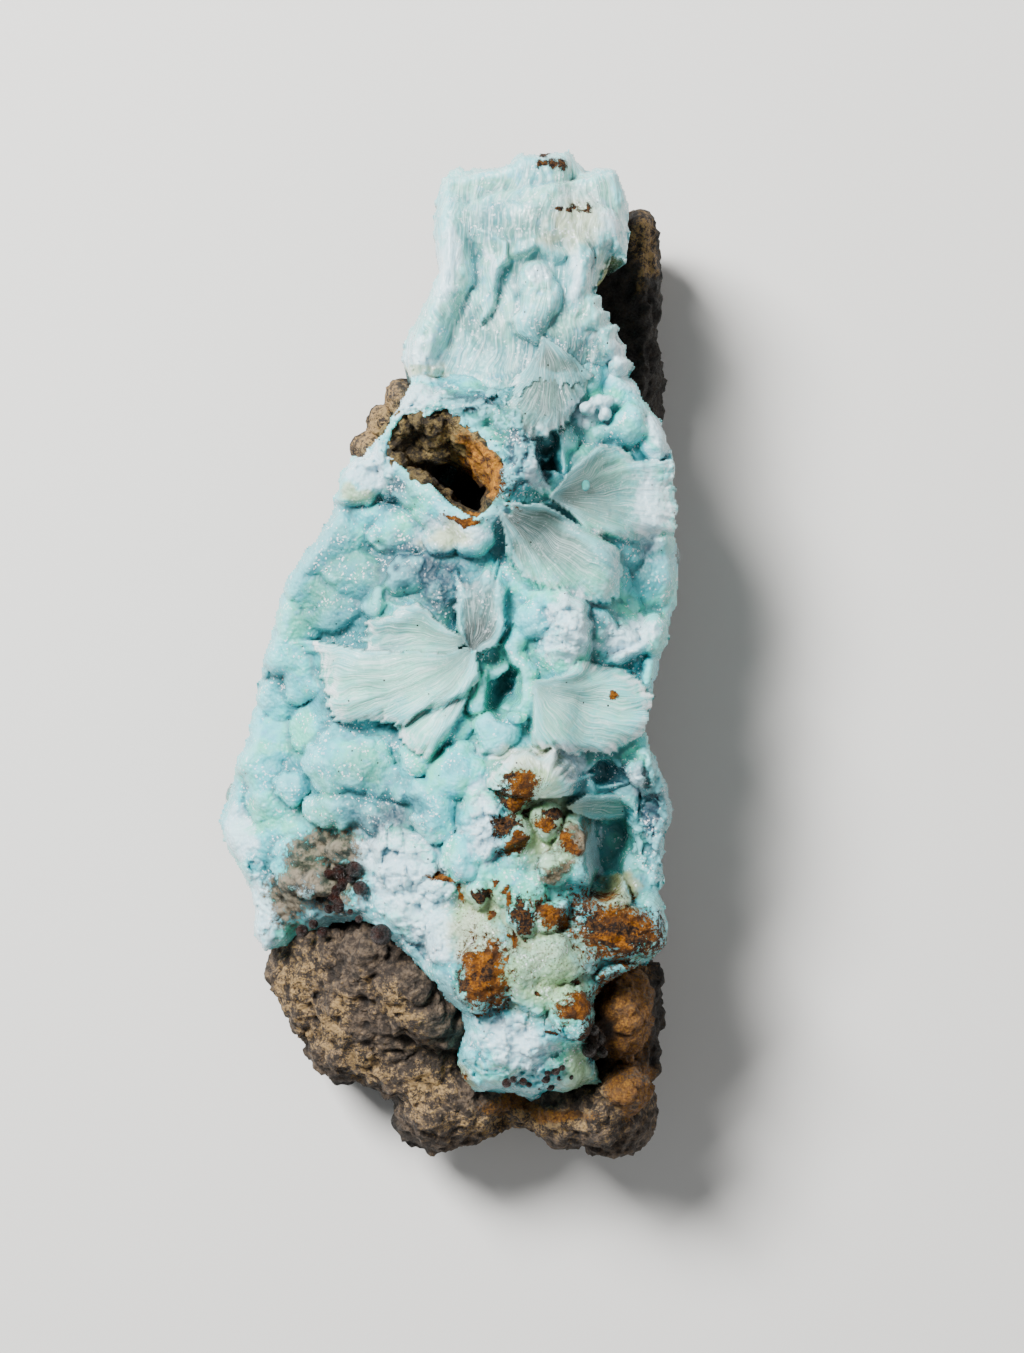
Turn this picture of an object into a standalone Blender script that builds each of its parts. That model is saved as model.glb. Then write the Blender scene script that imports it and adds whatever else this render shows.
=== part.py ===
import math

import bmesh
import bpy
from mathutils import Matrix, Vector, noise

# A hemimorphite crust grown on brown iron-oxide rock, lying on its broken back.
# X runs to the right, Y towards the fluted top block, Z up through the crust.
# Every length below is in millimetres; the last step of each piece turns it into metres.
MM = 0.001

# Overall shape
GAP = 1.0            # clear space kept between the rock and the crust
ROCK_GRAIN = 1.15     # size of the cells that the rock's masses are fused with
CRUST_GRAIN = 0.8     # the same for the crust
ROCK_FACES = 3300
CRUST_FACES = 6200
FIELD_STEP = 5.0      # spacing of the swells that fill the inside of an outline
SLAB_TOP = 17.0       # greatest height of the rock behind the crust
SKIRT_DROP = 11.5     # how far the crust's edge reaches down from the front
SKIRT_LOW = 9.0       # lowest edge of the crust
BACK_CUT = 1.6        # depth of rock taken off by the flat broken back
SEED = 7              # of the natural unevenness

# Heights of the front surface, as x, y, z
RELIEF = (
    (10, 50, 37), (2, 46, 34), (15, 40, 37), (20, 56, 32), (5, 56, 33), (20, 33, 33),
    (0, 35, 35), (0, 24, 41), (8, 22, 42), (-9, 20, 33), (25, 20, 30), (17, 10, 36),
    (14, 3, 39), (22, 0, 34), (26, 9, 29), (-5, 8, 36), (-12, 12, 31), (-16, 2, 28),
    (-22, -8, 22), (-10, -3, 33), (3, -2, 35), (10, -8, 37), (20, -8, 34), (0, -14, 36),
    (10, -14, 39), (-10, -16, 32), (-20, -18, 24), (-26, -20, 17), (-24, -30, 18),
    (-16, -28, 26), (-5, -27, 34), (5, -25, 38), (14, -25, 37), (22, -23, 24),
    (20, -33, 33), (10, -36, 38), (3, -38, 37), (14, -43, 36), (8, -48, 33),
    (23, -45, 28), (20, -53, 28), (10, -57, 20), (-5, -36, 32), (-10, -42, 24),
    (-16, -45, 16), (-5, -50, 20), (2, -56, 20), (-18, -38, 19), (24, -57, 18),
)

# Edge of the crust, clockwise from the left of the top block
CRUST_EDGE = (
    (-1.2, 51), (-1, 55), (-0.3, 57), (1.5, 58.5), (4, 58.3), (6.5, 58.3), (8, 59),
    (9, 60), (10.5, 59.8), (12.5, 59.8), (14.5, 60.6), (15.5, 59.8), (17, 58),
    (18.5, 58.3), (20.7, 58.3), (21.5, 56), (22.2, 54), (22, 47), (20, 47.5),
    (18.5, 44.5), (18, 43), (19.5, 40), (21, 37), (22.5, 34.5), (22.3, 32.5),
    (24, 30.5), (26, 28), (27.3, 25), (27.8, 22), (28, 18), (28, 14), (28.3, 10),
    (28.3, 6), (27.2, 4), (27, 2), (26, -1), (25.2, -4), (25, -7), (24, -9.5),
    (24.5, -11), (25.5, -13), (27, -16), (28, -19.5), (27, -22), (26.5, -25),
    (26.8, -27.5), (26, -29), (27, -32.5), (26.8, -35), (25, -37), (22, -38.5),
    (19, -40), (18, -43), (18, -49), (19, -52), (15, -53.5), (10, -54), (5, -54.5),
    (2, -52), (1.3, -50), (2.3, -46), (2, -43.5), (0, -41), (-3, -38), (-6, -35),
    (-8, -33), (-11, -32.5), (-15, -33.5), (-18, -35.5), (-22.5, -37), (-23.8, -35),
    (-23.8, -32), (-24.3, -29.5), (-25.5, -27), (-27.5, -23.5), (-28.3, -21),
    (-27.5, -19), (-26.5, -16), (-25.8, -13), (-24.5, -11), (-23.5, -6), (-22.5, -2),
    (-21.5, 1), (-20.8, 3.5), (-20, 7), (-18.5, 10), (-16, 13), (-13.5, 16.5),
    (-13.2, 18.5), (-12.5, 21.5), (-11, 23.2), (-9, 24), (-7, 26.5), (-5, 29.5),
    (-4, 32.5), (-4.9, 35), (-4.5, 38), (-2.5, 41.5), (-1.5, 44), (-0.8, 46), (-1.3, 50),
)

# Edge of the rock, clockwise from the top
ROCK_EDGE = (
    (2, 52), (8, 54.5), (16, 55), (22.2, 54.5), (25, 54.7), (26, 53), (26.4, 49),
    (26.5, 45), (26.2, 40), (26.4, 35), (26.2, 30), (25, 24), (25, 14), (25, 6),
    (23.5, 0), (22.5, -6), (22, -12), (24, -18), (23.5, -26), (24, -34), (25.3, -38),
    (26.3, -40), (26.7, -44), (26.6, -48), (26.5, -51.5), (26, -53), (25, -55.5),
    (23, -57.5), (20.5, -59.5), (18, -59.3), (12, -60), (9, -59.5), (5, -58.8),
    (1, -58.5), (-2, -58.3), (-3, -57), (-3.8, -55), (-6.5, -54), (-9, -52),
    (-11, -51), (-14, -50.5), (-15.5, -49.5), (-17, -47), (-18.5, -44.5), (-20, -42),
    (-20.3, -40.5), (-20.2, -39), (-20.8, -37.5), (-20.5, -33), (-22, -28), (-24, -22),
    (-22, -14), (-20, -6), (-18, 2), (-15, 10), (-12, 15), (-10.5, 20), (-11, 23.5),
    (-10, 25.5), (-8, 28), (-6.3, 31), (-2.5, 34), (-2, 38), (0, 43), (1, 48),
)

# Lower part of the rock that no crust covers
BARE_ROCK_EDGE = (
    (-20.3, -38), (-15, -34.5), (-11, -33.5), (-7, -34.5), (-3, -38.5), (0, -42),
    (1.8, -46), (1, -51), (4, -55.2), (11, -55), (18, -54), (25, -54), (23, -57.5),
    (20.5, -59.5), (12, -60), (5, -58.8), (-2, -58.3), (-6.5, -54), (-11, -51),
    (-15.5, -49.5), (-18.5, -44.5), (-20.3, -40.5),
)

# Mouth of the tube-like hollow, its outer edge
HOLLOW_EDGE = (
    (-6, 26), (-4.5, 28), (-2.5, 27), (-1, 28.2), (0.5, 28.5), (1.5, 27), (3, 26),
    (4.5, 24.5), (6, 22.5), (6.8, 20.5), (6.5, 18.5), (5.5, 17), (4, 15.8), (2.5, 16.5),
    (1, 17.5), (-0.5, 19), (-2, 20.5), (-4, 21.5), (-5.5, 22.5), (-6.2, 24),
)
HOLLOW_FLOOR = 23.0
HOLLOW_WALL = 1.7     # rusty wall inside the pale rim
HOLLOW_RIM = 36.0

# Rusty rock that shows left of the hollow: x, y, top, half widths, half height
ROCK_SHOULDER = (
    (-8.6, 25.0, 30, 2.4, 2.6, 12), (-6.6, 28.4, 32, 2.6, 3.0, 12), (-4.4, 31.6, 32, 2.6, 2.6, 12),
)

# Lumps of the crust: x, y, rise above the relief, half widths x and y, half height
CRUST_LUMPS = (
    # top block
    (11, 42, 2.6, 3.6, 6.2, 7), (15.7, 44.5, 1.6, 2.1, 4.4, 5), (0.8, 43.5, 1.4, 2.2, 8.5, 6),
    (-2.2, 36.5, 1.0, 2.2, 4.2, 6), (5, 48, 1.6, 2.4, 2.6, 5), (12.5, 52, 1.8, 8.5, 5.2, 7),
    (4.5, 54, 1.2, 4.6, 3.8, 6), (19, 54.5, 1.4, 3.0, 3.4, 6), (19.6, 49.5, 0.9, 2.4, 2.6, 5),
    (8, 33, 0.6, 4.2, 4.5, 6), (15.5, 34.5, 0.8, 3.4, 3.8, 6), (19.3, 37, 1.6, 1.5, 2.3, 3),
    (21, 34.3, 1.6, 1.7, 2.2, 3),
    # round the hollow
    (-5.5, 29, 1.6, 2.3, 2.4, 5), (-1, 30, 1.5, 3.6, 2.2, 6), (4, 28.4, 1.8, 3.6, 2.4, 6),
    (8.6, 26.3, 1.6, 2.8, 2.4, 6), (10.4, 22, 1.6, 2.2, 3.4, 6), (8.2, 19.6, 1.2, 2.0, 2.9, 5),
    (-7.6, 24.4, 1.8, 1.9, 3.0, 5), (-3.6, 19.4, 1.8, 2.8, 2.1, 5), (-0.6, 16.6, 1.2, 3.2, 2.0, 5),
    (-9.8, 21, 2.2, 2.9, 3.0, 6), (-0.5, 13.5, 2.4, 2.3, 1.8, 3), (4, 13.5, 2.8, 2.4, 2.3, 4),
    # right of the hollow
    (17.5, 23, 1.6, 2.0, 2.0, 3), (22, 27.5, 1.4, 2.1, 2.0, 3), (25.2, 26, 0.8, 1.9, 2.5, 4),
    (25.2, 9, 2.0, 3.0, 3.4, 5), (17.2, 29, 1.0, 1.8, 1.4, 3),
    # left field
    (-11, 13.5, 1.9, 3.0, 3.0, 4), (-11, 9, 1.4, 3.0, 2.6, 4), (-7.5, 5.6, 1.2, 2.2, 2.2, 3),
    (-14.5, 6, 1.8, 3.0, 2.8, 4), (-17, 8.5, 1.4, 2.4, 2.4, 4), (-6, 15, 1.4, 2.6, 2.4, 4),
    (-4, 9, 2.2, 2.7, 2.5, 4), (-1, 7, 1.6, 2.8, 2.6, 4), (1.2, 10.4, 0.8, 2.0, 1.8, 3),
    (-17.5, 2, 1.2, 3.0, 2.8, 4), (-19.6, -3, 1.2, 3.0, 3.0, 4), (-16, -9, 1.2, 2.6, 2.8, 4),
    (-18.5, -16.5, 1.8, 2.3, 2.2, 4), (-13.5, -13.5, 1.9, 3.0, 3.3, 4),
    (-9.8, -14, 1.9, 2.6, 2.8, 4), (-6.4, -15, 1.4, 2.1, 2.3, 4), (-14, -19.5, 1.6, 3.0, 1.8, 3),
    (-7, -19.6, 1.6, 2.9, 2.7, 4), (-1.5, -19, 1.8, 2.8, 3.8, 4), (1.5, -13.6, 1.8, 3.0, 3.0, 4),
    (-22.5, -13, 0.8, 2.9, 2.8, 4), (-23, -24, 1.4, 3.6, 3.4, 5), (-22, -31.5, 1.6, 3.0, 3.6, 5),
    (-15.5, -28, 1.6, 2.2, 1.8, 3), (-10.5, -29.5, 1.2, 2.4, 2.2, 3), (-5, -25, 1.0, 3.2, 3.4, 4),
    (-3.5, -31.5, 1.0, 2.8, 2.8, 4), (-7.5, -33, 0.8, 1.5, 1.4, 3),
    # middle right
    (10.5, 3.5, 2.2, 2.2, 2.2, 4), (8.5, 0.8, 1.2, 1.6, 2.0, 3), (8.8, -2, 1.4, 2.0, 2.1, 3),
    (10, -5, 1.4, 2.2, 2.2, 4), (18.6, 2.2, 1.4, 1.6, 3.2, 4), (21.2, 1.8, 1.8, 1.7, 1.7, 3),
    (25, 2.3, 1.2, 1.8, 2.2, 4), (4.6, -5, 1.4, 1.7, 2.3, 3), (6, -9.4, 1.6, 2.2, 2.2, 4),
    # lower middle
    (4.6, -20, 1.2, 2.4, 4.2, 4), (16.2, -23.6, 1.6, 2.8, 4.0, 5), (20.3, -29, 4.0, 2.3, 2.3, 4),
    (23.2, -15.2, 2.6, 1.8, 1.8, 4), (25.6, -20, 3.2, 1.7, 4.4, 6), (25.6, -33, 1.4, 1.7, 2.8, 5),
    (9, -28, 0.8, 3.0, 2.4, 4), (14.4, -36.5, 1.2, 4.6, 3.0, 4), (8.5, -38, 1.0, 3.0, 3.0, 4),
    (9, -45.5, 1.4, 5.4, 4.2, 5), (5, -50, 1.4, 3.4, 3.2, 5), (12.5, -50.6, 1.2, 4.0, 2.6, 4),
    (0.6, -34, 0.8, 3.0, 3.4, 4), (21.4, -38.6, 1.4, 2.6, 1.2, 3),
)

# Knobs of rusty rock that break through the crust: x, y, rise, half widths, half height
RUSTY_KNOBS = (
    (8.6, -16.6, 1.2, 1.9, 2.5, 7), (8.2, -21, 0.9, 2.2, 1.8, 7), (12.4, -20.6, 1.6, 1.4, 1.8, 7),
    (14.2, -24.6, 1.2, 1.7, 1.8, 7), (9.8, -31.2, 1.5, 1.7, 2.4, 7), (12.8, -31.4, 1.6, 1.8, 2.2, 7),
    (20, -32.8, 2.2, 5.2, 3.6, 10), (4.6, -38.8, 1.6, 3.2, 4.4, 9), (15.2, -42.6, 1.7, 2.7, 2.7, 9),
    (21.4, -44.2, 1.6, 4.3, 5.6, 13), (22, -53, 1.8, 3.2, 2.7, 11), (11.3, -17.8, 0.4, 1.3, 1.3, 6),
)

# Dark goethite beads fused to the rock under the lower edge of the crust: x, y, z, radius
BEADS = (
    (8.4, -54.4, 31.5, 1.0), (12, -54.2, 31.5, 1.2), (14.6, -53.8, 30.6, 1.1),
    (18.2, -47, 32, 1.7), (18.4, -50, 30, 1.4),
)

# Fan-shaped sprays and plates: origin, rim points round it, height at origin and at rim, thickness
FANS = (
    # wide fan of the left field, with its upper lobe
    ((3, -0.2), ((-11, 1.5), (-15, 1.5), (-15.2, -2), (-14.2, -5.5), (-12.5, -7.8), (-8, -8.4),
                 (-6, -9.5), (-3, -7), (1, -5)), 37.8, 35.2, 3.4),
    ((3, 0.6), ((0, 2.6), (-2.5, 4.6), (-6, 5), (-9.5, 3.6), (-9, 0.6)), 38.6, 37.2, 3.2),
    # upright fan beside the dark hole
    ((2.8, -0.4), ((1.2, 5.5), (2.6, 8.6), (5.6, 9.2), (7.3, 7), (6.4, 3)), 39.2, 40.4, 3.6),
    # smoky fan below the hollow
    ((6.8, 16.6), ((15.5, 15.2), (18, 14.4), (20.3, 11.8), (21.5, 8), (19, 6), (13, 7), (8, 8.4)),
     40.5, 38.4, 4.2),
    # large pale plate on the right
    ((12.6, 18.2), ((19, 24.6), (24, 23), (27.6, 23), (28, 18.5), (27.2, 14.5), (22.5, 13.2),
                    (17, 14.2)), 36.6, 32.2, 4.0),
    # grey fan under the top block
    ((12, 36), ((7.4, 30), (8.4, 25.6), (12, 25.4), (16, 28.6), (17.4, 31.6)), 38.6, 35.2, 3.4),
    # white plate of the middle cluster
    ((14.2, -2.2), ((11.4, 1), (11.8, 5.6), (14, 7), (16.9, 6.4), (17.2, 1)), 40.2, 42.2, 4.0),
    # large lower fan
    ((11.6, -3), ((17, -0.6), (22, -1.8), (25.2, -5.4), (24.6, -8.6), (20, -12.2), (15.6, -12),
                  (10.4, -10.6)), 39.4, 36.4, 4.0),
    # white ridge over the rusty knobs
    ((5, -14.6), ((7.5, -12.2), (10.6, -11.4), (13, -12), (16, -15.4), (14.4, -16.6),
                  (11.6, -14.2), (8, -14.2)), 39.6, 40.6, 3.0),
    # blade across the recess
    ((15.4, -18.4), ((19, -17), (23.8, -17.2), (24, -19.4), (20, -20.4)), 35.6, 32.4, 2.4),
)

# Pockets cut into the front: x, y, half widths, turn in degrees, floor height
CRUST_POCKETS = (
    (6.7, -4, 1.7, 3.9, 6, 19), (12.6, 21.6, 1.3, 4.6, 8, 26), (19.6, -23.4, 2.4, 4.2, 0, 18.5),
    (4.4, 38.6, 1.5, 2.4, 10, 30), (-18.6, -21, 1.7, 0.9, 40, 20), (13.4, 28.4, 1.0, 2.4, -30, 29),
    (19, -15, 1.8, 1.2, 20, 24), (9.4, 11.6, 1.5, 1.0, 30, 30),
)
ROCK_PITS = (
    (3.8, -37.6, 0.8, 0.8, 0, 34), (5.4, -41.4, 1.0, 0.8, 0, 33), (2.4, -40.2, 0.9, 1.1, 0, 33),
    (13, -45, 0.9, 0.7, 0, 33), (-9.7, -37, 1.1, 1.1, 0, 21), (-6.5, -48, 1.3, 1.1, 30, 14),
)


def clear_scene():
    for old in list(bpy.data.objects):
        bpy.data.objects.remove(old, do_unlink=True)


def stone(name, colour, roughness):
    """A plain stone material."""
    made = bpy.data.materials.new(name)
    made.use_nodes = True
    shader = made.node_tree.nodes["Principled BSDF"]
    shader.inputs["Base Color"].default_value = (*colour, 1)
    shader.inputs["Roughness"].default_value = roughness
    shader.inputs["Metallic"].default_value = 0
    return made


def relief(x, y):
    """Height of the front at a place, blended from the table by nearness."""
    total = 0
    weight = 0
    for px, py, height in RELIEF:
        near = 1 / ((x - px) ** 2 + (y - py) ** 2 + 4) ** 1.8
        total += near * height
        weight += near
    return total / weight


def inside(x, y, edge):
    """True where a point lies within an outline."""
    found = False
    last = edge[-1]
    for here in edge:
        if (here[1] > y) != (last[1] > y):
            cross = (last[0] - here[0]) * (y - here[1]) / (last[1] - here[1]) + here[0]
            if x < cross:
                found = not found
        last = here
    return found


def depth_within(x, y, edge):
    """Distance from a point to the nearest side of an outline."""
    best = 1000
    last = edge[-1]
    for here in edge:
        side = Vector((here[0] - last[0], here[1] - last[1]))
        off = Vector((x - last[0], y - last[1]))
        along = max(0, min(1, off.dot(side) / max(side.length_squared, 1e-9)))
        best = min(best, (off - side * along).length)
        last = here
    return best


def lump(form, place, size, turn=0, detail=2):
    """An egg-shaped swelling, with its centre and half sizes given."""
    put = Matrix.Translation(place) @ Matrix.Rotation(math.radians(turn), 4, "Z")
    put = put @ Matrix.Diagonal((*size, 1))
    bmesh.ops.create_icosphere(form, subdivisions=detail, radius=1, matrix=put)


def shifted(edge, inward):
    """The outline moved inward along the average of its two sides' normals."""
    moved = []
    count = len(edge)
    for spot in range(count):
        before = Vector(edge[spot - 1])
        here = Vector(edge[spot])
        after = Vector(edge[(spot + 1) % count])
        side = (here - before).normalized() + (after - here).normalized()
        side = side.normalized()
        moved.append((here.x + side.y * inward, here.y - side.x * inward))
    return moved


def loft(form, rings):
    """A closed body through rings of equal length, capped at both ends."""
    made = []
    for ring in rings:
        made.append([form.verts.new(spot) for spot in ring])
    count = len(made[0])
    for low, high in zip(made, made[1:]):
        for spot in range(count):
            after = (spot + 1) % count
            form.faces.new((low[spot], low[after], high[after], high[spot]))
    form.faces.new(list(reversed(made[0])))
    form.faces.new(made[-1])


def crust_skirt(form):
    """The body of the crust: its edge hangs from the front surface and turns in below."""
    heights = [relief(x, y) for x, y in CRUST_EDGE]
    rings = []
    for part, inward in ((1, 2.6), (0.72, 0.4), (0.34, 0), (0.06, 2.2)):
        ring = []
        for (x, y), top in zip(shifted(CRUST_EDGE, inward), heights):
            ring.append((x, y, max(SKIRT_LOW + (1 - part) * 8, top - SKIRT_DROP * part)))
        rings.append(ring)
    loft(form, rings)


def rock_slab(form):
    """The body of the rock: wider in the middle than at its broken back."""
    heights = [min(SLAB_TOP, relief(x, y) - 5) for x, y in ROCK_EDGE]
    rings = [[(x, y, -BACK_CUT) for x, y in shifted(ROCK_EDGE, 4.6)]]
    for part, inward in ((0.3, 1.6), (0.6, 0.2), (0.85, 0.3), (1, 2.0)):
        ring = shifted(ROCK_EDGE, inward)
        rings.append([(x, y, top * part) for (x, y), top in zip(ring, heights)])
    loft(form, rings)


def swells(form, edge, margin, lower, step, size, height):
    """Swells on a six-sided pattern inside an outline, their tops on the relief."""
    row = 0
    y = -62.0
    while y < 62:
        x = -30.0 + (row % 2) * step / 2
        while x < 30:
            if inside(x, y, edge) and depth_within(x, y, edge) > margin:
                sway = noise.noise_vector((x * 0.31, y * 0.31, 4.0))
                top = relief(x, y) - lower + sway.z * 1.3
                wide = size * (1 + 0.2 * sway.x)
                lump(form, (x + sway.x, y + sway.y, top - height), (wide, wide, height))
            x += step
        y += step * 0.87
        row += 1


def fan(form, origin, rim, high, rim_high, thick):
    """A wedge of radiating crystals: thin at its origin, thicker at its scalloped rim."""
    centre = Vector(origin)
    dense = []
    for spot in range(len(rim) - 1):
        for part in range(3):
            point = Vector(rim[spot]).lerp(Vector(rim[spot + 1]), part / 3)
            outward = (point - centre).normalized() * (0.45, -0.15, -0.15)[part]
            dense.append(point + outward)
    dense.append(Vector(rim[-1]))
    tops = [(*origin, high)]
    lows = [(*origin, high - thick * 0.6)]
    for count, point in enumerate(dense):
        crest = 0.35 if count % 3 == 0 else -0.25
        tops.append((point.x, point.y, rim_high + crest))
        back = centre.lerp(point, 0.86)
        lows.append((back.x, back.y, rim_high - thick))
    upper = [form.verts.new(spot) for spot in tops]
    lower = [form.verts.new(spot) for spot in lows]
    last = len(upper) - 1
    for spot in range(1, last):
        form.faces.new((upper[0], upper[spot], upper[spot + 1]))
        form.faces.new((lower[0], lower[spot + 1], lower[spot]))
        form.faces.new((upper[spot], lower[spot], lower[spot + 1], upper[spot + 1]))
    form.faces.new((upper[0], lower[0], lower[1], upper[1]))
    form.faces.new((upper[last], lower[last], lower[0], upper[0]))


def finish_form(form, name):
    """A scene object in metres from a form in millimetres."""
    bmesh.ops.recalc_face_normals(form, faces=form.faces)
    bmesh.ops.scale(form, vec=(MM, MM, MM), verts=form.verts)
    mesh = bpy.data.meshes.new(name)
    form.to_mesh(mesh)
    form.free()
    made = bpy.data.objects.new(name, mesh)
    bpy.context.collection.objects.link(made)
    return made


def settle(made):
    """Bakes an object's modifiers into its mesh."""
    graph = bpy.context.evaluated_depsgraph_get()
    graph.update()
    baked = bpy.data.meshes.new_from_object(made.evaluated_get(graph))
    made.modifiers.clear()
    made.data = baked


def fuse(made, grain):
    """Grows the overlapping masses of an object into one skin."""
    skin = made.modifiers.new("grown together", "REMESH")
    skin.mode = "VOXEL"
    skin.voxel_size = grain * MM
    skin.adaptivity = 0
    settle(made)


def roughen(made, depth, scale, seed):
    """Natural unevenness, along the skin's own normals."""
    normals = [vert.normal.copy() for vert in made.data.vertices]
    for vert, normal in zip(made.data.vertices, normals):
        place = vert.co / MM * scale
        push = noise.fractal(place + Vector((seed, 0, 0)), 0.9, 2.1, 3)
        vert.co += normal * push * depth * MM


def thin_out(made, faces):
    """Keeps the form with about the given number of triangles."""
    ratio = faces / (len(made.data.polygons) * 2)
    fewer = made.modifiers.new("fewer faces", "DECIMATE")
    fewer.ratio = min(1, ratio)
    fewer.use_collapse_triangulate = True
    settle(made)


def cut(made, cutter, how="DIFFERENCE"):
    """One solid cut by another."""
    edge = made.modifiers.new("cut", "BOOLEAN")
    edge.operation = how
    edge.solver = "EXACT"
    edge.object = cutter
    settle(made)


def hide(cutter):
    cutter.hide_render = True
    cutter.display_type = "WIRE"
    return cutter


def pocket_cutter(name, pockets, reach):
    """Egg-shaped cutters that stand on their floors and open upward."""
    form = bmesh.new()
    for x, y, wide, long, turn, floor in pockets:
        half = (reach - floor) / 2
        lump(form, (x, y, floor + half), (wide, long, half), turn, 2)
    return hide(finish_form(form, name))


def hollow_cutter():
    """The bore of the tube-like hollow, leaning a little to the lower right."""
    form = bmesh.new()
    rings = []
    for height, inward, lean in ((HOLLOW_FLOOR, 1.6, 0.8), (30.0, 0.5, 0.4), (52.0, 0, 0)):
        ring = shifted(HOLLOW_EDGE, inward)
        rings.append([(x + lean, y - lean, height) for x, y in ring])
    loft(form, rings)
    return hide(finish_form(form, "hollow cutter"))


def largest_part(made):
    """Drops loose chips, so that one body stays."""
    form = bmesh.new()
    form.from_mesh(made.data)
    form.verts.index_update()
    unseen = set(form.verts)
    groups = []
    while unseen:
        first = unseen.pop()
        group = [first]
        stack = [first]
        while stack:
            for side in stack.pop().link_edges:
                for other in side.verts:
                    if other in unseen:
                        unseen.discard(other)
                        group.append(other)
                        stack.append(other)
        groups.append(group)
    groups.sort(key=len)
    for group in groups[:-1]:
        bmesh.ops.delete(form, geom=group, context="VERTS")
    form.to_mesh(made.data)
    form.free()


def tidy_faces(made):
    """Welds points that fell together and splits every face into triangles."""
    form = bmesh.new()
    form.from_mesh(made.data)
    bmesh.ops.remove_doubles(form, verts=form.verts, dist=0.00003)
    bmesh.ops.dissolve_degenerate(form, edges=form.edges, dist=0.00002)
    bmesh.ops.triangulate(form, faces=form.faces)
    form.to_mesh(made.data)
    form.free()


def build_rock():
    """The iron-oxide rock: slab, bare lower part, rusty knobs, beads and the hollow's wall."""
    form = bmesh.new()
    rock_slab(form)
    swells(form, BARE_ROCK_EDGE, 2.2, 1.0, 4.4, 3.6, 9)
    for x, y, rise, wide, long, tall in RUSTY_KNOBS:
        top = relief(x, y) + rise
        lump(form, (x, y, top - tall), (wide, long, tall))
        lump(form, (x, y, 19), (wide + 1.2, long + 1.2, top - 21))
    for x, y, z, size in BEADS:
        lump(form, (x, y, z - size), (size, size, size))
        lump(form, (x, y, 20), (size + 1, size + 1, z - 21))
    for x, y, top, wide, long, tall in ROCK_SHOULDER:
        lump(form, (x, y, top - tall), (wide, long, tall))
    wall = shifted(HOLLOW_EDGE, -HOLLOW_WALL)
    loft(form, [[(x, y, z) for x, y in wall] for z in (14, 30, HOLLOW_RIM)])
    rock = finish_form(form, "matrix")
    fuse(rock, ROCK_GRAIN)
    roughen(rock, 1.1, 0.13, 11)
    roughen(rock, 0.5, 0.4, 5)
    cut(rock, hollow_cutter())
    cut(rock, pocket_cutter("rock pits", ROCK_PITS, 60))
    fuse(rock, ROCK_GRAIN * 0.8)
    thin_out(rock, ROCK_FACES)
    cut(rock, block_below(0, "broken back"))
    tidy_faces(rock)
    largest_part(rock)
    return rock


def block_below(height, name):
    """Everything below a level plane."""
    form = bmesh.new()
    bmesh.ops.create_cube(form, size=1, matrix=Matrix.Diagonal((90, 150, 40, 1)))
    bmesh.ops.translate(form, verts=form.verts, vec=(0, 0, height - 20))
    return hide(finish_form(form, name))


def grown_rock(rock):
    """A hidden copy of the rock, swollen by the clear space kept under the crust."""
    swollen = bpy.data.objects.new("rock and gap", rock.data.copy())
    bpy.context.collection.objects.link(swollen)
    normals = [vert.normal.copy() for vert in swollen.data.vertices]
    for vert, normal in zip(swollen.data.vertices, normals):
        vert.co += normal * GAP * MM
    fuse(swollen, ROCK_GRAIN)
    return hide(swollen)


def build_crust(rock):
    """The hemimorphite: skirt, swells, lumps and fans, cut to sit over the rock."""
    form = bmesh.new()
    crust_skirt(form)
    swells(form, CRUST_EDGE, 3.4, 1.2, FIELD_STEP, 4.3, 10)
    for x, y, rise, wide, long, tall in CRUST_LUMPS:
        lump(form, (x, y, relief(x, y) + rise - tall), (wide, long, tall), detail=3)
    for origin, rim, high, rim_high, thick in FANS:
        fan(form, origin, rim, high, rim_high, thick)
    crust = finish_form(form, "hemimorphite_crust")
    fuse(crust, CRUST_GRAIN)
    cut(crust, pocket_cutter("crust pockets", CRUST_POCKETS, 56))
    cut(crust, hollow_cutter())
    cut(crust, block_below(SKIRT_LOW - 1, "below the crust"))
    cut(crust, grown_rock(rock))
    fuse(crust, CRUST_GRAIN)
    largest_part(crust)
    roughen(crust, 0.3, 0.42, 3)
    thin_out(crust, CRUST_FACES)
    tidy_faces(crust)
    return crust


def main():
    clear_scene()
    noise.seed_set(SEED)
    rock = build_rock()
    crust = build_crust(rock)
    rock.data.materials.clear()
    rock.data.materials.append(stone("iron oxide rock", (0.045, 0.03, 0.02), 0.85))
    crust.data.materials.clear()
    crust.data.materials.append(stone("hemimorphite", (0.42, 0.6, 0.58), 0.35))
    for piece in (rock, crust):
        for face in piece.data.polygons:
            face.use_smooth = False


main()
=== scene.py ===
import math
import bpy
import numpy as np
from mathutils import Matrix, Vector


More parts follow.
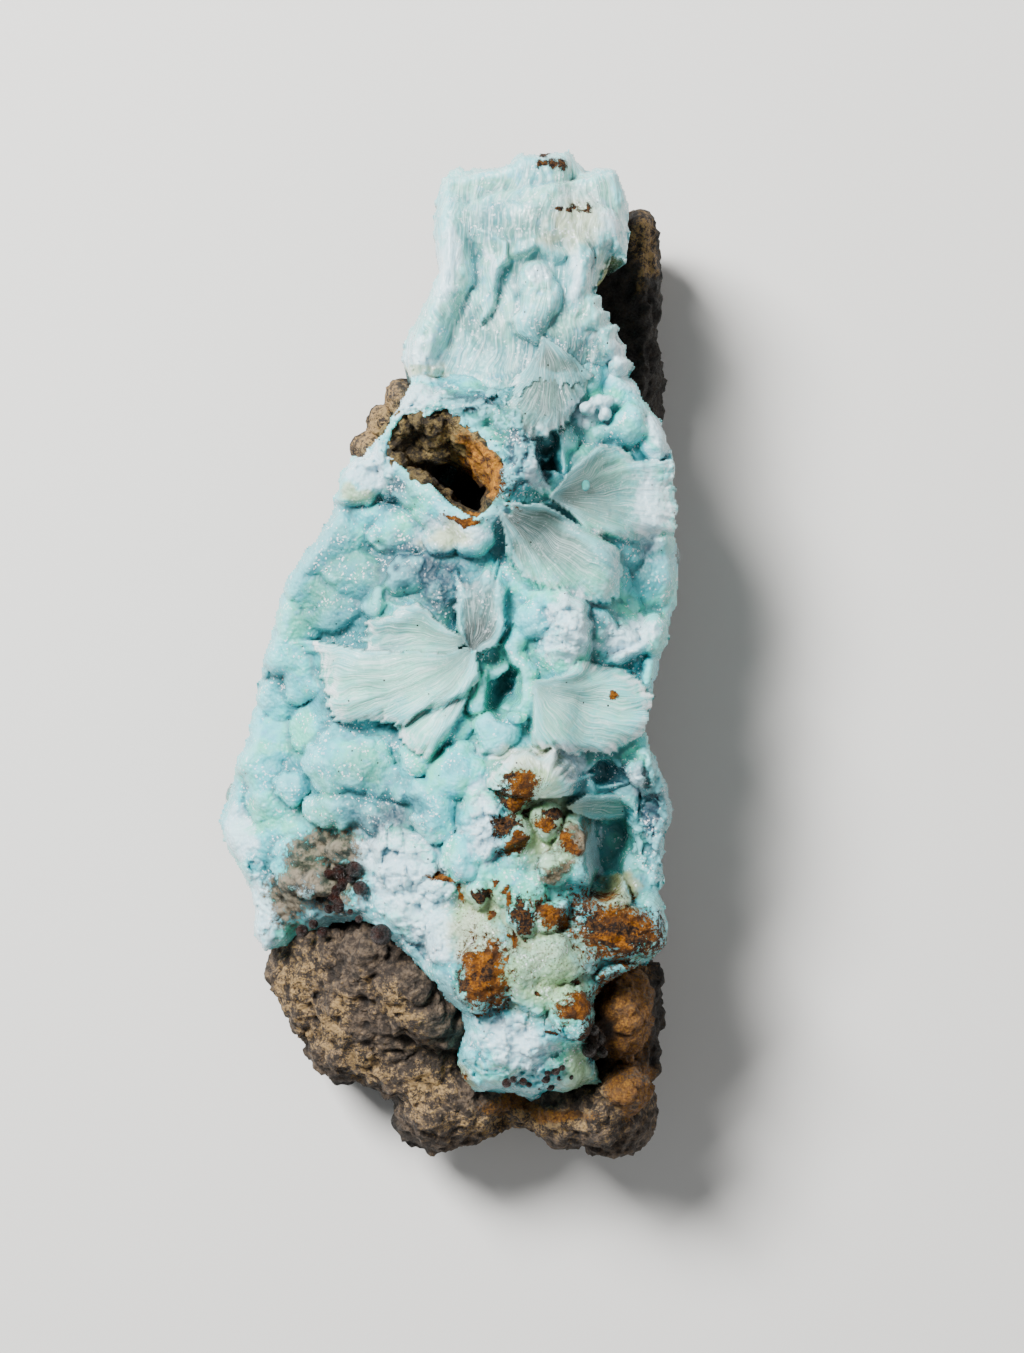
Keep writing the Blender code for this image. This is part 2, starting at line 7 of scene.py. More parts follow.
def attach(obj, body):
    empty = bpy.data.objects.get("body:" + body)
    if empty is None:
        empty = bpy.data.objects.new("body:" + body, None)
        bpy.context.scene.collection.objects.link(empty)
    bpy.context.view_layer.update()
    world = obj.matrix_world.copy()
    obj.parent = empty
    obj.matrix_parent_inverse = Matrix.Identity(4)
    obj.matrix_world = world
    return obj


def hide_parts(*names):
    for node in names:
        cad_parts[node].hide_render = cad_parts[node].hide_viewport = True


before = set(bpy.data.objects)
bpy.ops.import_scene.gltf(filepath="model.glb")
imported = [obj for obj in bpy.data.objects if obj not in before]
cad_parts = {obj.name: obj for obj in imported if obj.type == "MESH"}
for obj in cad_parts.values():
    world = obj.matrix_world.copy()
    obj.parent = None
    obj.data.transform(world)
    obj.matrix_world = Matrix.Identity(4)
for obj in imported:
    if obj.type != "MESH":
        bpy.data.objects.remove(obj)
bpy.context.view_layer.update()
mm = 0.001

# Hemimorphite crust on iron-oxide rock, lying on its back. Places and sizes are in millimetres:
# x to the right, y towards the fluted top, z up through the crust.

# heights of the front surface, as x, y, z
reliefTable = np.array((
    (10, 50, 37), (2, 46, 34), (15, 40, 37), (20, 56, 32), (5, 56, 33), (20, 33, 33),
    (0, 35, 35), (0, 24, 41), (8, 22, 42), (-9, 20, 33), (25, 20, 30), (17, 10, 36),
    (14, 3, 39), (22, 0, 34), (26, 9, 29), (-5, 8, 36), (-12, 12, 31), (-16, 2, 28),
    (-22, -8, 22), (-10, -3, 33), (3, -2, 35), (10, -8, 37), (20, -8, 34), (0, -14, 36),
    (10, -14, 39), (-10, -16, 32), (-20, -18, 24), (-26, -20, 17), (-24, -30, 18),
    (-16, -28, 26), (-5, -27, 34), (5, -25, 38), (14, -25, 37), (22, -23, 24),
    (20, -33, 33), (10, -36, 38), (3, -38, 37), (14, -43, 36), (8, -48, 33),
    (23, -45, 28), (20, -53, 28), (10, -57, 20), (-5, -36, 32), (-10, -42, 24),
    (-16, -45, 16), (-5, -50, 20), (2, -56, 20), (-18, -38, 19), (24, -57, 18),
), float)

# edge of the whole crust, clockwise from the left of the top block
crustEdge = (
    (-1.2, 51), (-1, 55), (-0.3, 57), (1.5, 58.5), (4, 58.3), (6.5, 58.3), (8, 59),
    (9, 60), (10.5, 59.8), (12.5, 59.8), (14.5, 60.6), (15.5, 59.8), (17, 58),
    (18.5, 58.3), (20.7, 58.3), (21.5, 56), (22.2, 54), (22, 47), (20, 47.5),
    (18.5, 44.5), (18, 43), (19.1, 42.5), (18.9, 41.2), (20, 40.9), (19.6, 39.5), (21, 39.2),
    (20.7, 37.5), (21.9, 37), (21.7, 35.6), (22.9, 34.9), (22.1, 33.2), (23.2, 32.2),
    (24, 30.5), (26, 28), (27.3, 25), (27.8, 22), (28, 18), (28, 14), (28.3, 10),
    (28.3, 6), (27.2, 4), (27, 2), (26, -1), (25.2, -4), (25, -7), (24, -9.5),
    (24.5, -11), (25.5, -13), (27, -16), (28, -19.5), (27, -22), (26.5, -25),
    (26.8, -27.5), (26, -29), (27, -32.5), (26.8, -35), (25, -37), (22, -38.5),
    (19, -40), (18, -43), (18, -49), (19, -52), (15, -53.5), (10, -54), (5, -54.5),
    (2, -52), (1.3, -50), (2.3, -46), (2, -43.5), (0, -41), (-3, -38), (-6, -35),
    (-8, -33), (-11, -32.5), (-15, -33.5), (-18, -35.5), (-22.5, -37), (-23.8, -35),
    (-23.8, -32), (-24.3, -29.5), (-25.5, -27), (-27.5, -23.5), (-28.3, -21),
    (-27.5, -19), (-26.5, -16), (-25.8, -13), (-24.5, -11), (-23.5, -6), (-22.5, -2),
    (-21.5, 1), (-20.8, 3.5), (-20, 7), (-18.5, 10), (-16, 13), (-13.5, 16.5),
    (-13.2, 18.5), (-12.5, 21.5), (-11, 23.2), (-9, 24), (-7, 26.5), (-5, 29.5),
    (-4, 32.5), (-4.9, 35), (-4.5, 38), (-2.5, 41.5), (-1.5, 44), (-0.8, 46), (-1.3, 50),
)

# edge of the rock, clockwise from the top
rockEdge = (
    (2, 52), (8, 54.5), (16, 55), (22.2, 54.5), (25, 54.7), (26, 53), (26.4, 49),
    (26.5, 45), (26.2, 40), (26.4, 35), (26.2, 30), (25, 24), (25, 14), (25, 6),
    (23.5, 0), (22.5, -6), (22, -12), (24, -18), (23.5, -26), (24, -34), (25.3, -38),
    (26.3, -40), (26.7, -44), (26.6, -48), (26.5, -51.5), (26, -53), (25, -55.5),
    (23, -57.5), (20.5, -59.5), (18, -59.3), (12, -60), (9, -59.5), (5, -58.8),
    (1, -58.5), (-2, -58.3), (-3, -57), (-3.8, -55), (-6.5, -54), (-9, -52),
    (-11, -51), (-14, -50.5), (-15.5, -49.5), (-17, -47), (-18.5, -44.5), (-20, -42),
    (-20.3, -40.5), (-20.2, -39), (-20.8, -37.5), (-20.5, -33), (-22, -28), (-24, -22),
    (-22, -14), (-20, -6), (-18, 2), (-15, 10), (-12, 15), (-10.5, 20), (-11, 23.5),
    (-10, 25.5), (-8, 28), (-6.3, 31), (-2.5, 34), (-2, 38), (0, 43), (1, 48),
)

# mouth of the tube-like hollow
hollowEdge = (
    (-6, 26), (-4.5, 28), (-2.5, 27), (-1, 28.2), (0.5, 28.5), (1.5, 27), (3, 26),
    (4.5, 24.5), (6, 22.5), (6.8, 20.5), (6.5, 18.5), (5.5, 17), (4, 15.8), (2.5, 16.5),
    (1, 17.5), (-0.5, 19), (-2, 20.5), (-4, 21.5), (-5.5, 22.5), (-6.2, 24),
)

# small noises and mesh helpers


def reliefAt(x, y):
    x = np.atleast_1d(np.asarray(x, float))
    y = np.atleast_1d(np.asarray(y, float))
    near = 1 / ((x[:, None] - reliefTable[:, 0]) ** 2 + (y[:, None] - reliefTable[:, 1]) ** 2 + 4) ** 1.8
    return (near * reliefTable[:, 2]).sum(1) / near.sum(1)


def cornerValue(spot, seed):
    mix = spot[:, 0] * 73856093 ^ spot[:, 1] * 19349663 ^ spot[:, 2] * 83492791 ^ (seed * 26544357 + 11)
    mix = (mix ^ (mix >> 13)) * 1274126177
    mix = (mix ^ (mix >> 15)) * 1597334677
    return ((mix >> 9) & 0xffff) / 65535.0


def softNoise(points, seed):
    # -1 to 1, one swell per unit of length
    base = np.floor(points).astype(np.int64)
    part = points - base
    fade = part * part * part * (part * (part * 6 - 15) + 10)
    total = np.zeros(len(points))
    for corner in range(8):
        step = np.array([(corner >> axis) & 1 for axis in range(3)])
        weight = np.prod(np.where(step == 1, fade, 1 - fade), axis=1)
        total += (cornerValue(base + step, seed) * 2 - 1) * weight
    return total


def cellBumps(points, seed):
    # round knobs, one per unit of length: 1 on top, 0 in the seams
    base = np.floor(points).astype(np.int64)
    best = np.full(len(points), 9.0)
    for a in (-1, 0, 1):
        for b in (-1, 0, 1):
            for c in (-1, 0, 1):
                spot = base + np.array((a, b, c))
                seedPoint = np.stack([cornerValue(spot, seed + k) for k in range(3)], 1)
                off = spot + 0.15 + 0.7 * seedPoint - points
                best = np.minimum(best, (off * off).sum(1))
    return np.sqrt(np.clip(1 - best, 0, 1))


def facets(points, seed):
    # small flat faces, each tilted its own way
    base = np.floor(points).astype(np.int64)
    best = np.full(len(points), 9.0)
    height = np.zeros(len(points))
    for a in (-1, 0, 1):
        for b in (-1, 0, 1):
            for c in (-1, 0, 1):
                spot = base + np.array((a, b, c))
                place = np.stack([cornerValue(spot, seed + k) for k in range(3)], 1)
                lean = np.stack([cornerValue(spot, seed + 5 + k) for k in range(3)], 1) - 0.5
                off = points - spot - 0.15 - 0.7 * place
                far = (off * off).sum(1)
                nearer = far < best
                best = np.where(nearer, far, best)
                height = np.where(nearer, (off * lean).sum(1) * 2 + lean[:, 0] * 0.5, height)
    return height


def deselectAll():
    bpy.ops.object.select_all(action="DESELECT")


def makeActive(piece):
    deselectAll()
    piece.select_set(True)
    bpy.context.view_layer.objects.active = piece


def readPoints(piece):
    flat = np.zeros(len(piece.data.vertices) * 3, np.float32)
    piece.data.vertices.foreach_get("co", flat)
    return flat.reshape(-1, 3).astype(float) / mm


def writePoints(piece, points):
    piece.data.vertices.foreach_set("co", (points * mm).astype(np.float32).ravel())
    piece.data.update()


def readNormals(piece):
    flat = np.zeros(len(piece.data.vertices) * 3, np.float32)
    piece.data.vertex_normals.foreach_get("vector", flat)
    return flat.reshape(-1, 3).astype(float)


def applyAll(piece):
    makeActive(piece)
    for modifier in list(piece.modifiers):
        bpy.ops.object.modifier_apply(modifier=modifier.name)


def startLump():
    deselectAll()
    bpy.ops.mesh.primitive_ico_sphere_add(subdivisions=4, radius=mm, location=(0, 0, 0))
    first = bpy.context.object
    first.name = "lumpStart"
    return first


lumpStart = startLump()


def placeLump(place, size, turn=0, lean=0):
    # a copy of the first lump with its own mesh, at its place and half sizes
    lump = bpy.data.objects.new("lump", lumpStart.data.copy())
    lump.location = Vector(place) * mm
    lump.scale = size
    lump.rotation_euler = (math.radians(lean), 0, math.radians(turn))
    bpy.context.collection.objects.link(lump)
    return lump


def joinLumps(lumps, name):
    deselectAll()
    for lump in lumps:
        lump.select_set(True)
    bpy.context.view_layer.objects.active = lumps[0]
    bpy.ops.object.join()
    piece = bpy.context.object
    piece.name = name
    bpy.ops.object.transform_apply(location=True, rotation=True, scale=True)
    return piece


def growTogether(piece, voxel):
    skin = piece.modifiers.new("skin", "REMESH")
    skin.mode = "VOXEL"
    skin.voxel_size = voxel * mm
    applyAll(piece)


def soften(piece, rounds, strength=0.5):
    ease = piece.modifiers.new("ease", "SMOOTH")
    ease.factor = strength
    ease.iterations = rounds
    applyAll(piece)


def shiftedEdge(edge, inward):
    moved = []
    count = len(edge)
    for spot in range(count):
        before = Vector(edge[spot - 1])
        here = Vector(edge[spot])
        after = Vector(edge[(spot + 1) % count])
        side = ((here - before).normalized() + (after - here).normalized()).normalized()
        moved.append((here.x + side.y * inward, here.y - side.x * inward))
    return moved


def loftRings(name, rings):
    # a closed body from rings of equal length, capped at both ends
    count = len(rings[0])
    points = [Vector(spot) * mm for ring in rings for spot in ring]
    faces = []
    for level in range(len(rings) - 1):
        for spot in range(count):
            after = (spot + 1) % count
            low = level * count
            faces.append((low + spot, low + after, low + count + after, low + count + spot))
    faces.append(tuple(reversed(range(count))))
    faces.append(tuple(range((len(rings) - 1) * count, len(rings) * count)))
    mesh = bpy.data.meshes.new(name)
    mesh.from_pydata(points, [], faces)
    piece = bpy.data.objects.new(name, mesh)
    bpy.context.collection.objects.link(piece)
    makeActive(piece)
    bpy.ops.object.mode_set(mode="EDIT")
    bpy.ops.mesh.select_all(action="SELECT")
    bpy.ops.mesh.normals_make_consistent(inside=False)
    bpy.ops.object.mode_set(mode="OBJECT")
    return piece


def isInside(x, y, edge):
    found = False
    last = edge[-1]
    for here in edge:
        if (here[1] > y) != (last[1] > y):
            if x < (last[0] - here[0]) * (y - here[1]) / (last[1] - here[1]) + here[0]:
                found = not found
        last = here
    return found


def marginInside(x, y, edge):
    best = 1000
    last = edge[-1]
    for here in edge:
        side = Vector((here[0] - last[0], here[1] - last[1]))
        off = Vector((x - last[0], y - last[1]))
        along = max(0, min(1, off.dot(side) / max(side.length_squared, 1e-9)))
        best = min(best, (off - side * along).length)
        last = here
    return best


def fieldOfSwells(edge, margin, lower, step, size, tall, seed):
    # swells on a six-sided pattern, with their tops on the relief
    random = np.random.default_rng(seed)
    lumps = []
    row = 0
    y = -62.0
    while y < 62:
        x = -30.0 + (row % 2) * step / 2
        while x < 30:
            sway = random.uniform(-1, 1, 4)
            if isInside(x, y, edge) and marginInside(x, y, edge) > margin:
                top = float(reliefAt(x, y)[0]) - lower + sway[2] * 0.5
                wide = size * (1 + 0.18 * sway[3])
                place = (x + sway[0] * step * 0.22, y + sway[1] * step * 0.22, top - tall)
                lumps.append(placeLump(place, (wide, wide, tall)))
            x += step
        y += step * 0.87
        row += 1
    return lumps


def lumpsOnRelief(table):
    # x, y, rise above the relief, half widths, half height, turn
    made = []
    for x, y, rise, wide, long, tall, *turn in table:
        top = float(reliefAt(x, y)[0]) + rise
        made.append(placeLump((x, y, top - tall), (wide, long, tall), turn[0] if turn else 0))
    return made


def carve(piece, cutter):
    bite = piece.modifiers.new("bite", "BOOLEAN")
    bite.operation = "DIFFERENCE"
    bite.solver = "MANIFOLD"
    bite.object = cutter
    applyAll(piece)


def dropPiece(piece):
    bpy.data.objects.remove(piece, do_unlink=True)


def keepLargest(piece):
    # loose crumbs inside or beside the skin are taken away
    makeActive(piece)
    count = len(piece.data.vertices)
    ends = np.zeros(len(piece.data.edges) * 2, np.int32)
    piece.data.edges.foreach_get("vertices", ends)
    ends = ends.reshape(-1, 2)
    mark = np.arange(count)
    while True:
        low = np.minimum(mark[ends[:, 0]], mark[ends[:, 1]])
        new = mark.copy()
        np.minimum.at(new, ends[:, 0], low)
        np.minimum.at(new, ends[:, 1], low)
        new = new[new]
        if (new == mark).all():
            break
        mark = new
    biggest = np.bincount(mark, minlength=count).argmax()
    loose = mark != biggest
    if not loose.any():
        return
    bpy.ops.object.mode_set(mode="EDIT")
    bpy.ops.mesh.select_mode(type="VERT")
    bpy.ops.mesh.select_all(action="DESELECT")
    bpy.ops.object.mode_set(mode="OBJECT")
    piece.data.vertices.foreach_set("select", loose)
    bpy.ops.object.mode_set(mode="EDIT")
    bpy.ops.mesh.delete(type="VERT")
    bpy.ops.object.mode_set(mode="OBJECT")


def pushOut(piece, amount):
    writePoints(piece, readPoints(piece) + readNormals(piece) * amount[:, None])


def averageAround(piece, values, rounds):
    ends = np.zeros(len(piece.data.edges) * 2, np.int32)
    piece.data.edges.foreach_get("vertices", ends)
    ends = ends.reshape(-1, 2)
    a = np.concatenate((ends[:, 0], ends[:, 1]))
    b = np.concatenate((ends[:, 1], ends[:, 0]))
    count = np.maximum(np.bincount(a, minlength=len(values)), 1)
    for _ in range(rounds):
        values = np.bincount(a, weights=values[b], minlength=len(values)) / count
    return values


def keepNumbers(piece, name, values):
    store = piece.data.attributes.new(name, "FLOAT", "POINT")
    store.data.foreach_set("value", values.astype(np.float32))


# where the colours lie: x, y, half widths, turn; 0.5 at the rim of the patch and 1 in its middle
patchTables = {
    "rust": (
        (9.0, -15.4, 1.9, 1.9, 0), (8.8, -17.6, 1.5, 1.4, 0), (8.4, -22.6, 1.9, 1.2, 0), (12.4, -20.8, 1.0, 1.2, 0),
        (-0.4, -27.2, 1.3, 0.7, -20), (1.6, -29.4, 0.6, 1.2, 25), (6.8, -28.2, 0.7, 0.7, 0), (7.8, -29.6, 0.8, 1.1, 0),
        (5.2, -27.2, 0.5, 0.9, -30), (5.8, -31.4, 0.6, 0.5, 0), (4.8, -38.2, 2.6, 4.0, 0), (4.0, -43.8, 0.7, 0.6, 0),
        (12.8, -30.8, 1.7, 2.2, 25), (20.4, -33.0, 5.8, 3.7, -20), (21.8, -44, 4.0, 6.6, 8), (15.4, -42.4, 1.9, 1.9, 0),
        (22.4, -53.2, 3.4, 2.9, 0), (11, -56, 6.5, 1.2, -8), (5.2, 21.6, 1.6, 4.4, 28), (2.4, 15.4, 2.7, 0.55, 8),
        (20, -5.8, 0.5, 0.5, 0), (3.2, -50.8, 0.5, 0.5, 0), (14.6, -22.2, 0.9, 1.6, 20), (8.4, -33.8, 0.6, 1.2, 30),
    ),
    "brown": (
        (8.0, -19.9, 2.2, 0.9, 0), (7.4, -14.6, 0.6, 0.8, 0), (7.6, -17.2, 0.5, 1.0, 0), (13.0, -19.3, 1.2, 0.7, 0),
        (4.6, -28.6, 0.4, 1.0, 25), (9.7, -31, 1.1, 2.0, 0), (17.6, -31.6, 2.2, 1.1, -20), (20.8, -32.4, 2.6, 0.9, -25),
        (23, -34.4, 1.8, 0.8, -30), (18.8, -34.6, 1.8, 0.7, -35), (18.2, -46.2, 1.9, 3.2, 0), (2.3, -39.4, 1.0, 1.3, 0),
        (3.8, -37.6, 0.5, 0.5, 0), (5.2, -37.7, 0.6, 0.6, 0), (13.3, 52.2, 0.9, 0.7, 0), (15.2, 52.9, 0.8, 0.5, 20),
        (16.8, 52.6, 0.8, 0.5, 0), (11.2, 57.9, 0.9, 0.7, 0), (12.5, 57.5, 0.7, 0.6, 0), (13.6, 57.3, 0.8, 0.8, 0),
        (12.2, 58.9, 0.7, 0.5, 0), (11.4, -40.5, 0.4, 0.4, 0), (16.9, -38.2, 1.2, 0.4, 40), (13.4, -45, 0.8, 0.4, 0),
    ),
    "speckle": (
        (11.5, -37, 5.6, 4.6, 0), (7.6, -23.4, 2.6, 2.2, 0), (16.2, -24.6, 2.6, 3.6, 0),
        (13, -25.3, 1.7, 1.7, 0), (4.2, -33, 3.4, 4.6, 0), (15.2, -43, 3.0, 3.4, 0), (16, -22.6, 2.0, 3.2, 0),
        (10.5, -17.4, 2.2, 4.6, 0), (18.6, -37.6, 3.4, 2.6, 0), (2.6, -51.2, 1.6, 1.3, 0),
    ),
    "yellow": (
        (11.4, -37, 6.2, 6.0, 0), (3.8, -32.4, 3.6, 4.6, 0), (12.4, -21, 3.8, 5.2, 0),
        (10.4, -14, 3.8, 2.6, 0), (16, -51.6, 2.2, 2.4, 0), (2.8, -51, 1.6, 1.6, 0),
        (20, 45.4, 1.8, 2.2, 0), (1, 13.4, 2.6, 1.2, 0), (-11, 19, 2.2, 1.0, 0), (-2.5, 33.4, 2.4, 1.0, 0),
        (15.6, 51.0, 2.6, 3.2, 0), (14.6, 50.2, 2.4, 1.2, 0), (20.5, -28.8, 2.2, 2.2, 0),
    ),
    "dirt": (
        (-13.4, -23.8, 3.2, 1.9, 25), (-16.6, -26.2, 3.6, 2.6, 45), (-19.2, -30, 2.6, 3.2, -20), (-13, -28.4, 3.0, 3.0, 0),
        (12.6, -25.7, 1.4, 1.4, 0), (15.4, -21.8, 1.6, 2.6, -20),
    ),
    "white": (
        (-4.5, -27, 4.6, 5.4, 0), (-9, -24, 3.2, 2.4, 0), (-1.5, -33, 2.6, 3.6, 20),
        (8.0, -46.6, 4.6, 2.6, -15), (14.6, 2.8, 2.6, 4.2, 0), (4.6, -20.2, 2.2, 4.2, 0), (-23, -32, 2.4, 4.4, 15),
        (-16.2, -28, 2.0, 1.4, 20), (-25.6, -22.6, 1.8, 3.4, 20), (9.8, -12.4, 4.4, 1.0, 0),
        (14.6, -13.2, 2.2, 1.6, -40), (-3.4, 29.6, 3.4, 1.2, 5),
        (10.6, 20.6, 1.0, 2.0, 10), (-9, 22, 3.4, 2.2, 40), (24.6, 17, 2.2, 4.6, 0),
        (25.2, 26, 1.7, 2.5, 0), (15.6, 51.6, 3.2, 3.4, 0), (18.6, 50.8, 2.2, 1.4, 0), (20.6, 35.4, 1.4, 3.4, 20),
        (11.4, 44.2, 1.2, 1.4, 0), (15.6, 45, 0.9, 2.6, 0), (0.4, 46, 1.6, 4.6, 0), (5.8, 46, 0.7, 2.4, 0), (-2.6, 34.6, 2.6, 2.6, 0),
        (22, 1.6, 3.4, 2.0, 20), (23.4, -15.2, 1.2, 1.6, 0), (17.6, -24, 0.9, 3.0, 0),
        (18, 29, 2.4, 1.4, 20), (1.4, 14, 3.8, 1.8, 0), (3.4, -34.5, 2.4, 3.0, 0),
    ),
    # darker teal: partly the crust's own tone, partly painted shade laid in the pockets and recesses
    "tealAndPocketShade": (
        (12.8, 22, 2.4, 6.0, 12), (16.6, 25.6, 4.4, 3.0, -20), (20.5, -24, 4.2, 6.4, 0),
        (19.2, -14, 3.6, 3.4, 0), (6.8, -3.6, 2.0, 4.6, 6), (9, 50.4, 6.8, 2.6, 8),
        (4.6, 38, 2.2, 3.4, 10), (12, 35, 6.0, 3.0, 0), (18.6, 1.8, 1.6, 4.0, 0),
        (24.6, 12, 2.2, 5.0, 0), (-12, 4, 5.6, 10, 20), (8.4, 30, 3.4, 2.6, 0), (-14, 12, 4, 5, 0),
        (22.5, -30, 3, 2, 0), (25, -18, 3.4, 5, 0), (24.6, -26, 2.6, 5, 0), (-10, -16, 5, 4, 0),
    ),
    # dark grey-blue: partly the crust's own tone, partly painted shade in the recesses
    "grey": (
        (0.4, 6.8, 4.4, 4.2, 0), (-3.6, 10.6, 5.6, 4.0, 0), (-1.6, 8.4, 3.4, 3.4, 0), (12.4, 14.4, 5.0, 3.0, -25),
        (-5, -37, 3.6, 4.4, 40), (0, -42, 2.2, 3.4, 40), (-14, -31.4, 4.6, 2.2, 0), (13, 30, 4.2, 5.0, -30),
        (9, 14, 3.4, 3.0, 0), (22.4, -14.6, 3.4, 2.2, 0), (-8.4, -20.2, 3.6, 2.4, 0), (20.6, -29, 2.2, 2.2, 0),
        (9.4, 23.6, 2.8, 4.4, 0), (4, 29, 5, 2, -10), (-6, 19.6, 2.4, 2.0, 0), (25.6, -19, 2.4, 5.4, 0), (8.2, 14.8, 2.0, 2.6, 0), (0, 8.8, 3, 3.4, 0), (-6, -19.4, 3.4, 2.2, 0),
    ),
}


def wander(points, far, near):
    # a sideways shift that makes round shapes irregular
    shift = np.zeros((len(points), 3))
    for axis in (0, 1):
        shift[:, axis] = far * softNoise(points / 3.2, 101 + axis) + near * softNoise(points / 1.1, 103 + axis)
    return shift


def patchValue(points, table):
    # 1 in a patch's middle, 0.5 at its rim, 0 well outside
    points = points + wander(points, 1.3, 0.55)
    best = np.zeros(len(points))
    for x, y, wide, long, turn in table:
        a = math.radians(turn)
        dx = points[:, 0] - x
        dy = points[:, 1] - y
        u = (dx * math.cos(a) + dy * math.sin(a)) / wide
        v = (dy * math.cos(a) - dx * math.sin(a)) / long
        best = np.maximum(best, 1 - 0.5 * np.sqrt(u * u + v * v))
    return best


def colourNumbers(piece, rounds=14):
    points = readPoints(piece)
    normals = readNormals(piece)
    smooth = np.stack([averageAround(piece, points[:, axis], rounds) for axis in range(3)], 1)
    crest = ((points - smooth) * normals).sum(1)
    keepNumbers(piece, "crest", np.clip(crest / 0.42, -1, 1))
    # how far each spot lies below the relief, which the materials use for painted depth shade
    keepNumbers(piece, "depth", np.clip((reliefAt(points[:, 0], points[:, 1]) - points[:, 2]) / 12, 0, 1))
    for name, table in patchTables.items():
        keepNumbers(piece, name, patchValue(points, table))


def roughGrain(piece, layers):
    # layers: size of a bump, depth, kind, seed
    points = readPoints(piece)
    normals = readNormals(piece)
    push = np.zeros(len(points))
    for size, depth, kind, seed in layers:
        if kind == "soft":
            push += softNoise(points / size, seed) * depth
        elif kind == "knobs":
            push += (cellBumps(points / size, seed) - 0.6) * depth
        elif kind == "ridges":
            push += (0.5 - np.abs(softNoise(points / size, seed))) * depth
        elif kind == "facets":
            push += facets(points / size, seed) * depth
        elif kind == "fibres":
            stretched = points / np.array((size, size * 9, size * 1.6))
            push += (0.5 - np.abs(softNoise(stretched, seed))) * depth
    writePoints(piece, points + normals * push[:, None])


def finishPiece(piece, material, node, rounds=14, body="root"):
    makeActive(piece)
    bpy.ops.object.shade_smooth()
    colourNumbers(piece, rounds)
    piece.data.materials.clear()
    piece.data.materials.append(material)
    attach(piece, body)
    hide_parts(node)
    print(piece.name, len(piece.data.polygons), "faces")


# materials


def hexColour(code):
    parts = [int(code[place:place + 2], 16) / 255 for place in (1, 3, 5)]
    return tuple(p / 12.92 if p <= 0.04045 else ((p + 0.055) / 1.055) ** 2.4 for p in parts) + (1,)


def addNode(tree, kind, settings, inputs, out=0):
    made = tree.nodes.new(kind)
    for name, value in settings.items():
        setattr(made, name, value)
    for name, value in inputs.items():
        if isinstance(value, bpy.types.NodeSocket):
            tree.links.new(value, made.inputs[name])
        else:
            made.inputs[name].default_value = value
    return made.outputs[out]


def newStone(name):
    material = bpy.data.materials.new(name)
    material.use_nodes = True
    return material, material.node_tree, material.node_tree.nodes["Principled BSDF"]


eased = {"interpolation_type": "SMOOTHSTEP"}
rgba = {"data_type": "RGBA"}
times = {"operation": "MULTIPLY"}


def raggedPatch(tree, name, noise, reach, edge, share=1.0):
    # a patch whose rim is broken up by a noise
    value = addNode(tree, "ShaderNodeAttribute", {"attribute_name": name}, {}, 2)
    value = addNode(tree, "ShaderNodeMath", {"operation": "MULTIPLY_ADD"}, {0: noise, 1: reach, 2: value})
    middle = 0.5 + reach / 2
    return addNode(tree, "ShaderNodeMapRange", eased, {0: value, 1: middle - edge, 2: middle + edge, 4: share})


def layColours(tree, colour, layers):
    # each layer covers the ones before it by its share
    for share, shade in layers:
        shade = hexColour(shade) if isinstance(shade, str) else shade
        colour = addNode(tree, "ShaderNodeMix", rgba, {0: share, 6: colour, 7: shade}, 2)
    return colour


# Hemimorphite grown as a druse: waxy and cloudy, light goes a few millimetres in, and thousands
# of tiny crystal faces glint. Fans and columns show fine fibres.
crustLook = {
    "base": "#4CCFDA", "green": "#5ED4BA", "blue": "#60B8E8", "crestHighlight": "#8CE2EA", "seamShade": "#437F88",
    "white": "#CFEBF6", "tealAndPocketShade": "#37696D", "grey": "#284152", "yellow": "#B9BC74", "deepWater": "#45949C",
    "fan": "#A0D8C8", "smoke": "#55605E", "fanRoot": "#6F8F8A", "fanRimWhiteAndGlint": "#F4FAFA",
    "streakLight": "#DDF0EE", "streakDark": "#4F8F8F", "streaks": 0.0, "paintedGlint": "#F6FBFF",
    "dirt": "#33281A", "dust": "#8A7B64", "rust": "#5C3200", "rustLight": "#A06000", "brown": "#1A0F08",
    "deep": "#2C4A49", "glintCell": 0.21, "glintTilt": 0.85, "coat": 0.6, "gloss": 0.22, "grain": 0.55, "roughness": 0.25,
}


